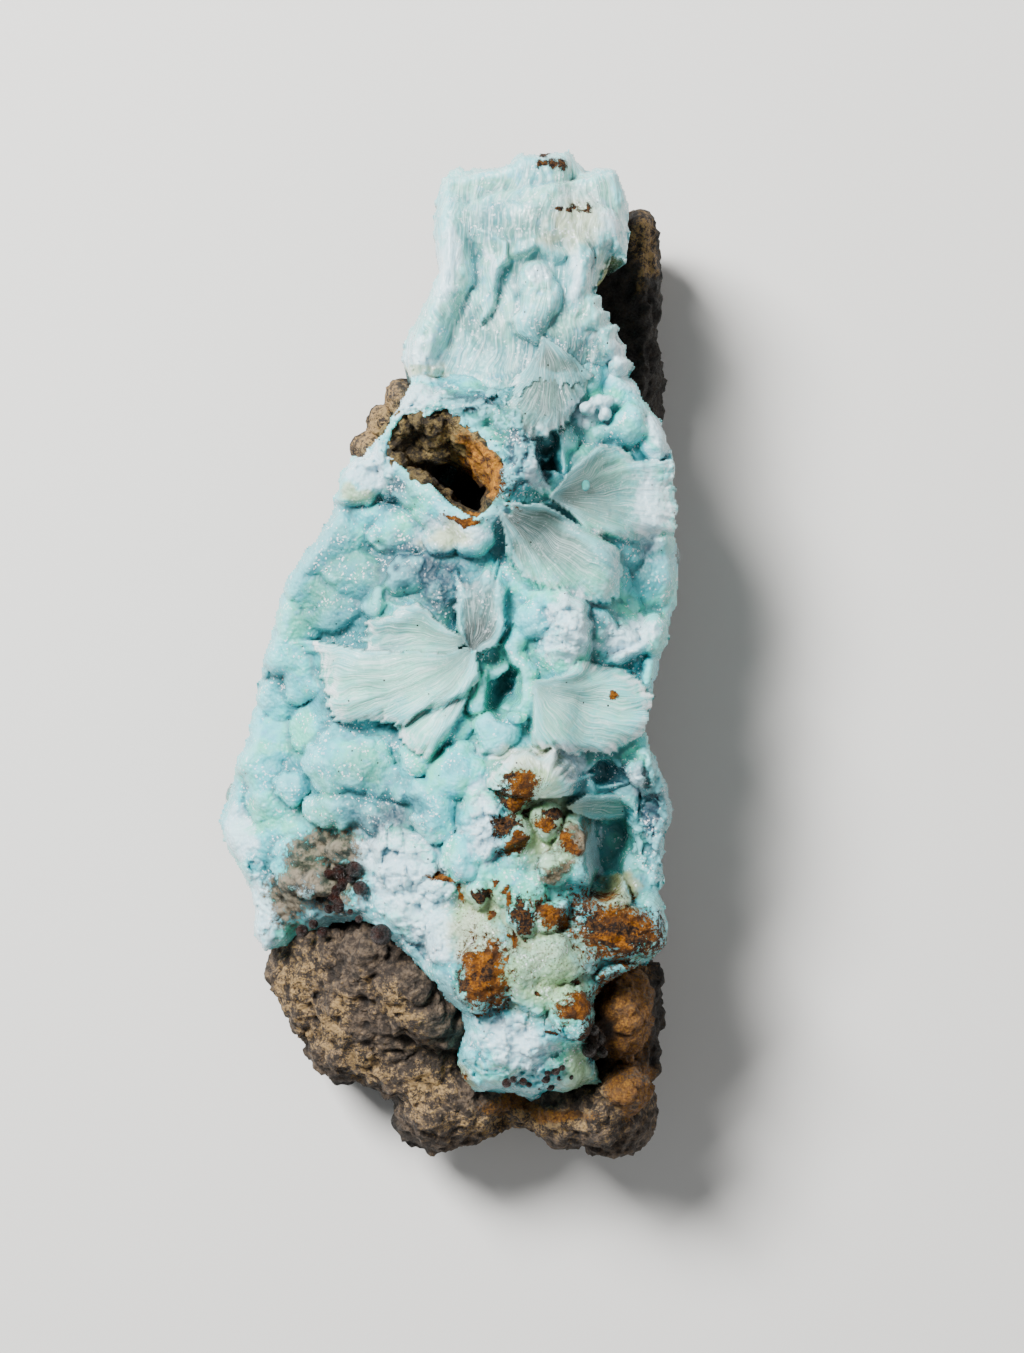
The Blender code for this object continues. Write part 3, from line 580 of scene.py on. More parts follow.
def hemimorphite(name, look):
    material, tree, shader = newStone(name)
    place = addNode(tree, "ShaderNodeTexCoord", {}, {}, 3)
    place = addNode(tree, "ShaderNodeVectorMath", {"operation": "SCALE"}, {0: place, 3: 1000.0})
    broad = addNode(tree, "ShaderNodeTexNoise", {}, {"Vector": place, "Scale": 0.16, "Detail": 3.0})
    middle = addNode(tree, "ShaderNodeTexNoise", {}, {"Vector": place, "Scale": 0.75, "Detail": 5.0, "Roughness": 0.62})
    fine = addNode(tree, "ShaderNodeTexNoise", {}, {"Vector": place, "Scale": 2.6, "Detail": 4.0, "Roughness": 0.7})
    crest = addNode(tree, "ShaderNodeAttribute", {"attribute_name": "crest"}, {}, 2)
    depth = addNode(tree, "ShaderNodeAttribute", {"attribute_name": "depth"}, {}, 2)
    fan = addNode(tree, "ShaderNodeAttribute", {"attribute_name": "fan"}, {}, 2)
    smoke = addNode(tree, "ShaderNodeAttribute", {"attribute_name": "smoke"}, {}, 2)
    fanOut = addNode(tree, "ShaderNodeAttribute", {"attribute_name": "fanOut"}, {}, 2)
    fanRound = addNode(tree, "ShaderNodeAttribute", {"attribute_name": "fanRound"}, {}, 2)

    # fibres: along the fans' rays, and along the columns of the top block
    rays = addNode(tree, "ShaderNodeCombineXYZ", {}, {0: fanRound, 1: fanOut})
    grown = addNode(tree, "ShaderNodeMapping", {}, {0: place, 3: (1.0, 0.06, 0.5)})
    onFan = addNode(tree, "ShaderNodeMath", {"operation": "GREATER_THAN"}, {0: fan, 1: 0.5})
    along = addNode(tree, "ShaderNodeMix", {"data_type": "VECTOR"}, {0: onFan, 4: grown, 5: rays}, 1)
    warp = addNode(tree, "ShaderNodeTexNoise", {}, {"Vector": place, "Scale": 0.1, "Detail": 2.0}, 1)
    along = addNode(tree, "ShaderNodeVectorMath", {"operation": "MULTIPLY_ADD"}, {0: warp, 1: (7.0, 0.5, 0.0), 2: along})
    streak = addNode(tree, "ShaderNodeTexNoise", {}, {"Vector": along, "Scale": 2.8, "Detail": 2.5, "Roughness": 0.6})
    fibrous = addNode(tree, "ShaderNodeMath", {"operation": "MAXIMUM"}, {0: fan, 1: look["streaks"]})
    lightStreak = addNode(tree, "ShaderNodeMapRange", eased, {0: streak, 1: 0.47, 2: 0.66, 4: 0.5})
    darkStreak = addNode(tree, "ShaderNodeMapRange", eased, {0: streak, 1: 0.32, 2: 0.47, 3: 0.35, 4: 0.0})
    rootShare = addNode(tree, "ShaderNodeMapRange", eased, {0: fanOut, 1: 0.05, 2: 0.6, 3: 0.55, 4: 0.0})
    # fan rims: partly a real whiter crystal rim, partly painted glints along it
    rimWhiteAndGlintShare = addNode(tree, "ShaderNodeMapRange", eased, {0: fanOut, 1: 0.84, 2: 0.98, 4: 0.85})
    rimWhiteAndGlintShare = addNode(tree, "ShaderNodeMath", times, {0: rimWhiteAndGlintShare, 1: addNode(tree, "ShaderNodeMapRange", eased, {0: middle, 1: 0.4, 2: 0.6})})

    fanShare = addNode(tree, "ShaderNodeMapRange", eased, {0: middle, 1: 0.36, 2: 0.6, 3: 0.5, 4: 0.85})
    outer = addNode(tree, "ShaderNodeMapRange", eased, {0: fanOut, 1: 0.5, 2: 1.0, 3: 1.0, 4: 0.6})
    fanShare = addNode(tree, "ShaderNodeMath", times, {0: fanShare, 1: outer})
    fanShare = addNode(tree, "ShaderNodeMath", times, {0: fan, 1: fanShare})

    colour = layColours(tree, hexColour(look["base"]), (
        (addNode(tree, "ShaderNodeMapRange", eased, {0: broad, 1: 0.42, 2: 0.6}), look["green"]),
        (addNode(tree, "ShaderNodeMapRange", eased, {0: middle, 1: 0.5, 2: 0.72, 4: 0.5}), look["blue"]),
        (addNode(tree, "ShaderNodeMapRange", eased, {0: broad, 1: 0.36, 2: 0.5, 3: 0.55, 4: 0.0}), look["deepWater"]),
        # darker teal and grey-blue patches: partly the crust's own tone, partly painted shade in pockets and recesses
        (raggedPatch(tree, "tealAndPocketShade", middle, 0.3, 0.3, 0.6), look["tealAndPocketShade"]),
        (raggedPatch(tree, "grey", middle, 0.3, 0.3, 0.95), look["grey"]),
        (fanShare, look["fan"]),
        (addNode(tree, "ShaderNodeMath", times, {0: fan, 1: rootShare}), look["fanRoot"]),
        (smoke, look["smoke"]),
        # painted highlight: convex crests are painted paler
        (addNode(tree, "ShaderNodeMapRange", eased, {0: crest, 1: 0.05, 2: 0.9, 4: 0.5}), look["crestHighlight"]),
        # painted shade: concave seams between lumps are painted darker
        (addNode(tree, "ShaderNodeMapRange", eased, {0: crest, 1: -0.9, 2: -0.05, 3: 0.65, 4: 0.0}), look["seamShade"]),
        # painted shade: spots deep below the relief, in pockets and recesses, are painted dark
        (addNode(tree, "ShaderNodeMapRange", eased, {0: depth, 1: 0.25, 2: 0.85, 4: 0.85}), look["deep"]),
        (raggedPatch(tree, "white", middle, 0.9, 0.2, 0.8), look["white"]),
        (raggedPatch(tree, "yellow", middle, 0.6, 0.22, 0.6), look["yellow"]),
        (addNode(tree, "ShaderNodeMath", times, {0: fibrous, 1: lightStreak}), look["streakLight"]),
        (addNode(tree, "ShaderNodeMath", times, {0: fibrous, 1: darkStreak}), look["streakDark"]),
        (addNode(tree, "ShaderNodeMath", times, {0: fan, 1: rimWhiteAndGlintShare}), look["fanRimWhiteAndGlint"]),
    ))
    # painted glints: white specks laid in the colour where tiny crystal faces would catch the light; and rare black
    # grains
    cells = addNode(tree, "ShaderNodeTexVoronoi", {}, {"Vector": place, "Scale": 1 / look["glintCell"]}, 1)
    flock = addNode(tree, "ShaderNodeTexNoise", {}, {"Vector": place, "Scale": 0.42, "Detail": 3.0, "Roughness": 0.7})
    flock = addNode(tree, "ShaderNodeMapRange", eased, {0: flock, 1: 0.48, 2: 0.6})
    paintedGlintShare = addNode(tree, "ShaderNodeMapRange", eased, {0: cells, 1: 0.75, 2: 0.8, 4: 0.75})
    paintedGlintShare = addNode(tree, "ShaderNodeMath", times, {0: paintedGlintShare, 1: flock})
    bare = addNode(tree, "ShaderNodeMapRange", {}, {0: fan, 3: 1.0, 4: 0.25})
    bare = addNode(tree, "ShaderNodeMath", {"operation": "ADD"}, {0: bare, 1: rimWhiteAndGlintShare})
    paintedGlintShare = addNode(tree, "ShaderNodeMath", times, {0: paintedGlintShare, 1: bare})
    grains = addNode(tree, "ShaderNodeTexVoronoi", {}, {"Vector": place, "Scale": 0.5})
    # mud and limonite that sit on the crust
    mud = layColours(tree, hexColour(look["dirt"]), ((addNode(tree, "ShaderNodeMapRange", eased, {0: middle, 1: 0.4, 2: 0.62}), look["dust"]),))
    mixed = addNode(tree, "ShaderNodeMath", {"operation": "ADD"}, {0: middle, 1: fine})
    limonite = layColours(tree, hexColour(look["rust"]), (
        (addNode(tree, "ShaderNodeMapRange", eased, {0: fine, 1: 0.42, 2: 0.6}), look["rustLight"]),
        (addNode(tree, "ShaderNodeMapRange", eased, {0: mixed, 1: 0.98, 2: 1.14}), "#3F240A"),
    ))
    goethite = layColours(tree, hexColour(look["brown"]), ((addNode(tree, "ShaderNodeMapRange", eased, {0: fine, 1: 0.45, 2: 0.6}), "#5A3813"),))
    speck = addNode(tree, "ShaderNodeTexNoise", {}, {"Vector": place, "Scale": 4.2, "Detail": 3.0, "Roughness": 0.8})
    speckArea = addNode(tree, "ShaderNodeAttribute", {"attribute_name": "speckle"}, {}, 2)
    speckArea = addNode(tree, "ShaderNodeMapRange", eased, {0: speckArea, 1: 0.35, 2: 0.75, 4: 0.85})
    specks = addNode(tree, "ShaderNodeMapRange", eased, {0: speck, 1: 0.56, 2: 0.63})
    specks = addNode(tree, "ShaderNodeMath", times, {0: specks, 1: speckArea})
    torn = addNode(tree, "ShaderNodeTexNoise", {}, {"Vector": place, "Scale": 1.5, "Detail": 6.0, "Roughness": 0.82})
    dirt = raggedPatch(tree, "dirt", torn, 1.6, 0.12, 0.95)
    rust = raggedPatch(tree, "rust", torn, 1.7, 0.06)
    brown = raggedPatch(tree, "brown", torn, 1.8, 0.07)
    # painted glints (white specks) go first, then black grains, mud, specks, limonite and goethite
    colour = layColours(tree, colour, (
        (paintedGlintShare, look["paintedGlint"]),
        (addNode(tree, "ShaderNodeMapRange", eased, {0: grains, 1: 0.05, 2: 0.075, 3: 1.0, 4: 0.0}), "#2B2A26"),
        (dirt, mud), (specks, "#6E4A1E"), (rust, limonite), (brown, goethite),
    ))
    covered = addNode(tree, "ShaderNodeMath", {"operation": "MAXIMUM"}, {0: rust, 1: brown})
    covered = addNode(tree, "ShaderNodeMath", {"operation": "MAXIMUM"}, {0: covered, 1: dirt})
    covered = addNode(tree, "ShaderNodeMath", {"operation": "MAXIMUM"}, {0: covered, 1: specks})

    # fine relief: grains on the druse, ribs on the fibres, crumbs on the stains
    grainy = addNode(tree, "ShaderNodeTexVoronoi", {"feature": "SMOOTH_F1"}, {"Vector": place, "Scale": 1 / look["grain"], "Smoothness": 0.4})
    height = addNode(tree, "ShaderNodeMath", {"operation": "MULTIPLY_ADD"}, {0: grainy, 1: -0.9, 2: fine})
    ribs = addNode(tree, "ShaderNodeMath", times, {0: streak, 1: 1.8})
    height = addNode(tree, "ShaderNodeMix", {}, {0: addNode(tree, "ShaderNodeMath", times, {0: fibrous, 1: 0.75}), 2: height, 3: ribs})
    crumbs = addNode(tree, "ShaderNodeMath", times, {0: covered, 1: fine})
    height = addNode(tree, "ShaderNodeMath", {"operation": "MULTIPLY_ADD"}, {0: crumbs, 1: 2.2, 2: height})
    bump = addNode(tree, "ShaderNodeBump", {}, {"Height": height, "Distance": 0.00022, "Strength": 0.9})
    # the glints: each small crystal face has its own tilt
    tilt = addNode(tree, "ShaderNodeVectorMath", {"operation": "SUBTRACT"}, {0: cells, 1: (0.5, 0.5, 0.5)})
    lean = addNode(tree, "ShaderNodeMapRange", {}, {0: flock, 3: 0.12, 4: look["glintTilt"]})
    tilt = addNode(tree, "ShaderNodeVectorMath", {"operation": "SCALE"}, {0: tilt, 3: lean})
    facing = addNode(tree, "ShaderNodeVectorMath", {"operation": "ADD"}, {0: bump, 1: tilt})
    facing = addNode(tree, "ShaderNodeVectorMath", {"operation": "NORMALIZE"}, {0: facing})

    tree.links.new(colour, shader.inputs["Base Color"])
    tree.links.new(bump, shader.inputs["Normal"])
    tree.links.new(facing, shader.inputs["Coat Normal"])
    tree.links.new(addNode(tree, "ShaderNodeMapRange", {}, {0: covered, 3: look["coat"], 4: 0.0}), shader.inputs["Coat Weight"])
    tree.links.new(addNode(tree, "ShaderNodeMapRange", {}, {0: covered, 3: 0.55, 4: 0.0}), shader.inputs["Subsurface Weight"])
    tree.links.new(addNode(tree, "ShaderNodeMapRange", {}, {0: covered, 3: look["roughness"], 4: 0.85}), shader.inputs["Roughness"])
    shader.inputs["Specular IOR Level"].default_value = look["gloss"]
    shader.inputs["Coat Roughness"].default_value = 0.07
    shader.inputs["Coat IOR"].default_value = 1.62
    shader.inputs["Subsurface Radius"].default_value = (0.85, 1.0, 1.02)
    shader.inputs["Subsurface Scale"].default_value = 0.001
    shader.inputs["IOR"].default_value = 1.62
    return material


# Goethite and limonite rock: dull, crumbly, dark brown with tan and ochre flecks
rockLook = {
    "dark": "#352B22", "brown": "#6C5B4A", "tan": "#B8955F", "rust": "#6E420C", "ochre": "#9C6A1C",
    "rustShare": 0.9, "depthShadeShare": 0.85, "shine": 0.0,
    "patches": (
        (-19, -41, 3.0, 4.6, -20), (-12.5, -42.5, 1.3, 1.5, 0), (-10, -50.4, 4.0, 1.8, -20), (-2.4, -53, 2.6, 3.4, 0),
        (-8.6, 27, 3.0, 6.0, -28), (24.5, 50, 1.8, 5.0, 0), (-6, -43, 3.4, 1.4, -40), (22.5, -41, 3.2, 4.4, 0),
        (22, -53.4, 4.0, 2.8, 0), (10, -57.4, 9, 2.0, 0), (-14.5, -46.5, 3.0, 2.4, -40), (3, 24, 3.6, 4.2, 0),
        (22.4, -46.6, 3.0, 3.6, 0),
    ),
}


def ironOxideRock(name, look):
    material, tree, shader = newStone(name)
    place = addNode(tree, "ShaderNodeTexCoord", {}, {}, 3)
    place = addNode(tree, "ShaderNodeVectorMath", {"operation": "SCALE"}, {0: place, 3: 1000.0})
    middle = addNode(tree, "ShaderNodeTexNoise", {}, {"Vector": place, "Scale": 0.9, "Detail": 6.0, "Roughness": 0.7})
    fine = addNode(tree, "ShaderNodeTexNoise", {}, {"Vector": place, "Scale": 3.4, "Detail": 4.0, "Roughness": 0.75})
    crest = addNode(tree, "ShaderNodeAttribute", {"attribute_name": "crest"}, {}, 2)
    depth = addNode(tree, "ShaderNodeAttribute", {"attribute_name": "depth"}, {}, 2)
    tan = addNode(tree, "ShaderNodeAttribute", {"attribute_name": "tan"}, {}, 2)
    mixed = addNode(tree, "ShaderNodeMath", {"operation": "ADD"}, {0: middle, 1: fine})
    flecks = addNode(tree, "ShaderNodeMath", {"operation": "MULTIPLY_ADD"}, {0: tan, 1: 0.32, 2: mixed})
    limonite = layColours(tree, hexColour(look["rust"]), (
        (addNode(tree, "ShaderNodeMapRange", eased, {0: fine, 1: 0.42, 2: 0.62}), look["ochre"]),
        (addNode(tree, "ShaderNodeMapRange", eased, {0: middle, 1: 0.5, 2: 0.62}), "#4A2A0E"),
    ))
    # painted shade: rock lying deep below the crust's relief, such as the slab behind the crust, is painted near black,
    # but not on tan patches
    paintedDepthShade = addNode(tree, "ShaderNodeMapRange", eased, {0: depth, 1: 0.55, 2: 0.98, 4: look["depthShadeShare"]})
    paintedDepthShade = addNode(tree, "ShaderNodeMath", times, {0: paintedDepthShade, 1: addNode(tree, "ShaderNodeMapRange", eased, {0: tan, 1: 0.4, 2: 0.75, 3: 1.0, 4: 0.0})})
    colour = layColours(tree, hexColour(look["dark"]), (
        (addNode(tree, "ShaderNodeMapRange", eased, {0: middle, 1: 0.42, 2: 0.6}), look["brown"]),
        (addNode(tree, "ShaderNodeMapRange", eased, {0: flecks, 1: 1.15, 2: 1.33, 4: 0.85}), look["tan"]),
        (raggedPatch(tree, "rust", fine, 0.7, 0.12, look["rustShare"]), limonite),
        (raggedPatch(tree, "brown", fine, 0.6, 0.12, 0.85), "#20150D"),
        # painted shade: concave creases are painted near black
        (addNode(tree, "ShaderNodeMapRange", eased, {0: crest, 1: -0.9, 2: -0.1, 3: 0.7, 4: 0.0}), "#120E0B"),
        (paintedDepthShade, "#0A0705"),
    ))
    crumbs = addNode(tree, "ShaderNodeTexVoronoi", {"feature": "SMOOTH_F1"}, {"Vector": place, "Scale": 1.9, "Smoothness": 0.3})
    height = addNode(tree, "ShaderNodeMath", {"operation": "MULTIPLY_ADD"}, {0: middle, 1: 1.6, 2: fine})
    height = addNode(tree, "ShaderNodeMath", {"operation": "MULTIPLY_ADD"}, {0: crumbs, 1: -0.8, 2: height})
    bump = addNode(tree, "ShaderNodeBump", {}, {"Height": height, "Distance": 0.0005, "Strength": 1.0})
    rough = addNode(tree, "ShaderNodeMapRange", eased, {0: fine, 1: 0.4, 2: 0.62, 3: 0.72 - look["shine"], 4: 0.97 - look["shine"]})
    tree.links.new(colour, shader.inputs["Base Color"])
    tree.links.new(bump, shader.inputs["Normal"])
    tree.links.new(rough, shader.inputs["Roughness"])
    shader.inputs["IOR"].default_value = 1.5
    return material


druse = hemimorphite("hemimorphite druse", crustLook)
columnStone = hemimorphite("fibrous hemimorphite", dict(crustLook, streaks=0.9, base="#86CCCB", green="#90CDBD"))
oxideRock = ironOxideRock("goethite and limonite rock", rockLook)
# the hollow's wall takes the full painted depth shade, so its bore is painted black
wallLook = {"dark": "#2E2413", "brown": "#75623A", "tan": "#A68B52", "rust": "#A8671A", "ochre": "#CC8A20", "rustShare": 1.0, "depthShadeShare": 1.0}
limoniteWall = ironOxideRock("limonite wall of the hollow", dict(rockLook, **wallLook))
beadLook = {"dark": "#150805", "brown": "#2E120A", "tan": "#3A1C10", "rustShare": 0.0, "depthShadeShare": 0.0, "shine": 0.55}
beadStone = ironOxideRock("goethite beads", dict(rockLook, **beadLook))
print("materials made")


# the crust's own body under the detailed skins: skirt and broad swells
crustBody = {"voxel": 0.55, "drop": 11.5, "lowest": 9, "inset": 0.5, "margin": 3.2, "sink": 4.6, "step": 4.4,
             "swell": 3.8, "tall": 9, "grain": ((4.2, 0.7, "soft", 3), (1.6, 0.4, "knobs", 8), (0.9, 0.2, "soft", 5))}

# pockets that go deep into the crust: x, y, half widths, turn, floor
pockets = (
    (6.9, -3.8, 1.4, 3.6, 6, 29.5), (13.0, 22, 1.3, 3.8, 8, 33.5), (19.6, -23.6, 2.7, 4.6, 0, 23),
    (4.2, 38.4, 1.0, 2.4, 8, 34), (-18.8, -21, 1.6, 0.6, 35, 23), (13.6, 27.6, 0.9, 2.0, -30, 32),
    (19.2, -14.4, 2.0, 0.8, 10, 29), (9.4, 11.8, 1.0, 0.7, 30, 35.5),
)


def pocketCutter():
    cutters = []
    for x, y, wide, long, turn, floor in pockets:
        half = (58 - floor) / 2
        cutters.append(placeLump((x, y, floor + half - 1), (wide * 1.25 + 2, long * 1.25 + 2, half + 1), turn))
    return joinLumps(cutters, "pocketCutter")


def mouthCutter():
    rings = [[(x, y, height) for x, y in shiftedEdge(hollowEdge, -0.8)] for height in (20, 38, 56)]
    return loftRings("mouthCutter", rings)


def crustSkirt():
    heights = [float(reliefAt(x, y)[0]) for x, y in crustEdge]
    rings = []
    for part, inward in ((1, 3.0), (0.72, 0.9), (0.4, 0.5), (0.2, 2.2)):
        ring = []
        for (x, y), top in zip(shiftedEdge(crustEdge, inward), heights):
            ring.append((x, y, max(crustBody["lowest"] + (1 - part) * 8, top - crustBody["drop"] * part)))
        rings.append(ring)
    return loftRings("crustSkirt", rings)


def cutBelow(piece, height):
    deselectAll()
    bpy.ops.mesh.primitive_cube_add(size=0.2, location=(0, 0, height * mm - 0.1))
    under = bpy.context.object
    carve(piece, under)
    dropPiece(under)


def buildCrustBody():
    parts = [crustSkirt()]
    parts += fieldOfSwells(crustEdge, crustBody["margin"], crustBody["sink"], crustBody["step"],
                           crustBody["swell"], crustBody["tall"], 5)
    body = joinLumps(parts, "crustBody")
    growTogether(body, crustBody["voxel"])
    for cutter in (pocketCutter(), mouthCutter()):
        carve(body, cutter)
        dropPiece(cutter)
    cutBelow(body, crustBody["lowest"] - 1)
    growTogether(body, crustBody["voxel"])
    keepLargest(body)
    roughGrain(body, crustBody["grain"])
    finishPiece(body, druse, "hemimorphite_crust")


buildCrustBody()

# lumps of the front: x, y, rise above the relief, half widths, dome, turn
lumps = {
    "left field": (
        (-12, 13.7, 1.3, 3.9, 2.9, 2.4), (-5.6, 14.4, 0.8, 3.1, 2.7, 2.0), (-10.9, 9.8, 1.2, 3.6, 2.8, 2.2),
        (-4.5, 9.2, 1.0, 3.0, 2.8, 2.2), (-0.6, 6.8, 0.9, 3.0, 3.2, 2.4), (-8.3, 5.8, 1.0, 2.2, 2.2, 2.0),
        (-13.8, 6, 1.2, 3.4, 2.8, 2.0), (-0.4, 3.6, 0.4, 2.3, 2.3, 2.0), (-17.2, 8.4, 0.5, 2.8, 2.6, 1.6),
        (-17.6, 4.2, 0.4, 2.8, 2.6, 1.4), (1.2, 10.6, 0.2, 2.0, 1.8, 1.6), (-8.4, 16.8, 0.1, 2.4, 1.7, 1.4),
        (-18.5, -0.4, 0.3, 3.2, 3.0, 1.6), (-19.8, -5.2, 0.4, 3.2, 3.2, 1.6), (-16.4, -9.4, 0.4, 2.8, 2.8, 1.5),
        (-17.2, -4, 0.3, 2.2, 2.6, 1.2), (-12.4, -10.4, 0.3, 2.4, 1.9, 1.2), (-20.6, -10.6, 0.3, 3.0, 2.8, 1.5),
        (-18.6, -16.3, 1.5, 2.3, 2.2, 1.9), (-13.6, -13.6, 1.4, 3.2, 3.4, 2.2), (-9.8, -13.2, 1.5, 3.2, 3.0, 2.2),
        (-6.6, -15.6, 0.9, 2.5, 2.3, 1.8), (-12.4, -18.9, 1.0, 5.0, 2.3, 1.9), (-7, -20, 0.9, 3.2, 2.7, 2.0),
        (-1.4, -18.8, 1.7, 3.0, 4.0, 2.6), (2.2, -14.2, 1.3, 3.7, 3.3, 2.4), (-3.2, -12.6, 0.5, 2.6, 2.4, 1.8),
        (-22.4, -14, 0.2, 3.2, 3.2, 1.5), (-25, -18.6, 0.3, 2.4, 2.8, 1.4), (-22.6, -18.4, 0.3, 2.6, 2.6, 1.3),
        (4.6, -5, 1.2, 1.7, 2.4, 2.0), (6, -9.4, 0.9, 2.7, 2.2, 2.0), (1.4, -8.6, 0.3, 2.2, 2.6, 1.6),
        (4.2, 10, 0.4, 2.0, 2.2, 1.6), (-4, -16.2, 0.5, 1.9, 1.7, 1.4), (-22.2, 0.4, -0.6, 1.2, 3.0, 1.2),
        (-1.6, 11, 0.5, 2.2, 2.0, 1.6), (-15.6, 11.6, 0.3, 2.4, 2.2, 1.4), (-23.6, -10.4, -0.2, 1.8, 2.6, 1.2),
    ),
    "hollow": (
        (-0.7, 13.5, 2.2, 2.4, 1.9, 2.0), (3.9, 13.5, 2.6, 2.5, 2.3, 2.3), (-9.8, 21, 1.9, 2.9, 2.9, 2.0),
        (-7.4, 24.0, 1.4, 2.0, 3.0, 1.8), (8.3, 26.1, 0.9, 3.0, 2.4, 2.2), (10.3, 22, 1.3, 2.2, 3.4, 2.6),
        (8.0, 19.6, 1.0, 1.9, 2.9, 2.2), (-3.4, 31.2, 0.7, 2.6, 1.8, 1.8), (2.2, 31.2, 0.6, 3.4, 1.8, 1.8),
        (-3.4, 19.2, 1.5, 2.8, 2.1, 2.0), (-0.4, 16.4, 1.1, 3.0, 1.9, 1.9), (7, 29.4, 0.7, 2.8, 2.0, 2.0),
        (-6.4, 20.4, 1.0, 2.1, 2.2, 1.8), (2.6, 16, 1.2, 2.6, 1.6, 1.7),
    ),
    "right side": (
        (17.5, 23, 1.2, 2.1, 2.1, 1.9), (22, 27.5, 1.2, 2.3, 2.3, 2.0), (25.2, 26, 1.2, 1.9, 2.7, 2.0),
        (19.5, 25.4, 0.5, 2.3, 1.9, 1.6), (14.6, 25.6, -0.2, 1.9, 1.9, 1.4), (25.2, 9, 1.4, 3.2, 3.6, 2.8),
        (21.6, 12, 0.2, 2.6, 2.2, 1.8), (26.4, 14.4, 0.4, 1.8, 3.2, 1.8), (10.5, 3.5, 1.9, 2.5, 2.4, 2.2),
        (8.5, 0.6, 1.1, 1.8, 2.3, 1.9), (8.8, -2.2, 1.1, 2.1, 2.3, 2.0), (9.8, -5.6, 1.1, 2.4, 2.4, 2.0),
        (18.6, 2.2, 1.0, 1.8, 3.5, 1.8), (21.2, 1.8, 1.9, 1.9, 1.9, 1.8), (25, 2.3, 1.3, 2.0, 2.5, 2.0),
        (13.4, 9.6, 0.4, 3.2, 2.4, 1.8), (8.6, 8.4, 0.2, 2.4, 2.2, 1.6), (18.6, 8, 0.4, 2.8, 2.2, 1.7),
        (24.8, -2.6, 0.6, 1.4, 3.0, 1.8), (20.3, -29, 3.4, 2.5, 2.5, 2.5), (16.8, -17.6, 0.4, 1.7, 2.4, 1.7),
        (21, -4, 0.2, 2.8, 2.2, 1.7), (21, -12.6, -1.4, 3.4, 2.0, 1.8), (14.6, 0.6, 1.0, 3.0, 3.6, 2.2),
        (12.2, -9, 0.8, 2.6, 3.0, 2.0), (22.2, 8, 0.0, 2.0, 2.4, 1.6),
    ),
    "recess": (
        (18.2, -21.6, -4.2, 2.6, 3.8, 2.6), (17.6, -26.6, -4.8, 2.2, 2.6, 2.2), (25.4, -15.2, 2.6, 2.6, 3.2, 2.8),
        (25.0, -20.4, 3.2, 3.2, 3.8, 3.4), (24.4, -26, 2.6, 3.0, 3.8, 3.2), (24.9, -31.2, 1.0, 2.2, 2.8, 2.2),
        (23.2, -14.4, 2.8, 1.5, 2.0, 1.8), (21.4, -25.6, -0.6, 2.0, 3.2, 2.4), (20.8, -20.6, -1.6, 1.8, 2.6, 2.2),
    ),
    "lower left": (
        (-23.4, -24, 0.9, 4.2, 4.2, 2.2), (-21.8, -31.6, 1.0, 3.2, 4.2, 2.2), (-17.6, -26, 0.6, 3.6, 3.4, 1.8),
        (-15.5, -28.2, 1.4, 2.4, 1.7, 1.6, 20), (-10.5, -29.5, 0.9, 2.8, 2.5, 1.8), (-5, -25, 0.7, 3.8, 3.8, 2.2),
        (-3.5, -31.5, 0.7, 3.2, 3.2, 2.0), (-11.4, -23.8, 0.4, 3.2, 2.2, 1.6), (0.6, -34, 0.5, 3.2, 3.6, 2.0),
        (1.6, -24.4, 0.5, 2.6, 3.0, 1.8), (-7.4, -34.4, 0.2, 2.4, 1.6, 1.4),
    ),
    "stained mound": (
        (4.7, -20, 1.3, 2.6, 4.6, 2.4), (16.2, -23.6, 1.9, 3.0, 4.4, 2.8), (9, -28, 0.5, 3.2, 2.8, 1.8),
        (14.4, -36.5, 0.9, 5.0, 3.2, 2.0), (8.5, -38, 0.6, 3.2, 3.4, 1.8), (8.8, -16.4, 1.0, 2.2, 3.0, 2.0),
        (8.2, -21.2, 0.9, 2.4, 2.4, 1.9), (12.4, -20.4, 1.4, 1.7, 2.3, 1.7), (13, -25.4, 1.3, 2.0, 2.0, 1.7),
        (9.8, -31.2, 1.1, 1.9, 2.5, 1.6), (13, -31.2, 1.2, 2.2, 2.2, 1.7), (20.2, -32.9, 2.3, 5.6, 3.8, 3.2, -14),
        (4.6, -38.6, 1.4, 3.1, 4.5, 2.2), (15.3, -42.8, 1.5, 2.9, 3.0, 2.2), (4.2, -29, 0.7, 1.8, 1.9, 1.5),
        (6.2, -34, 0.4, 2.4, 2.2, 1.5), (11.6, -41, 0.6, 2.6, 2.2, 1.6), (21.4, -38.8, 1.2, 2.9, 1.4, 1.3),
        (24.6, -34.4, 1.0, 2.0, 2.0, 1.8), (9, -45.5, 0.8, 5.6, 4.4, 2.4), (5, -50, 0.8, 3.6, 3.4, 2.2),
        (12.5, -50.4, 0.7, 4.2, 3.0, 2.2), (-0.8, -28.0, 0.6, 2.2, 1.3, 1.2),
    ),
    "top block": (
        (11.1, 41.6, 2.2, 2.6, 5.0, 2.6), (15.9, 44.6, 1.5, 1.7, 4.8, 2.0),
        (4.4, 54.8, 0.5, 4.8, 3.8, 2.2), (11.4, 56.8, 0.8, 4.4, 3.8, 2.2), (19.2, 55.2, 0.9, 3.2, 3.8, 2.2),
        (12.4, 51.4, 0.7, 8.6, 4.0, 2.4), (19.6, 49.8, 0.5, 2.8, 3.8, 2.0), (19.3, 37, 1.6, 1.6, 2.4, 1.8),
        (21, 34.3, 1.6, 1.8, 2.3, 1.8), (19, 42, 0.9, 1.1, 1.4, 1.2), (17.6, 40.4, 0.6, 1.8, 2.4, 1.6),
        (1.0, 51.4, 0.9, 2.6, 3.6, 2.2), (15.6, 35.6, 0.5, 3.4, 3.4, 1.8),
    ),
}

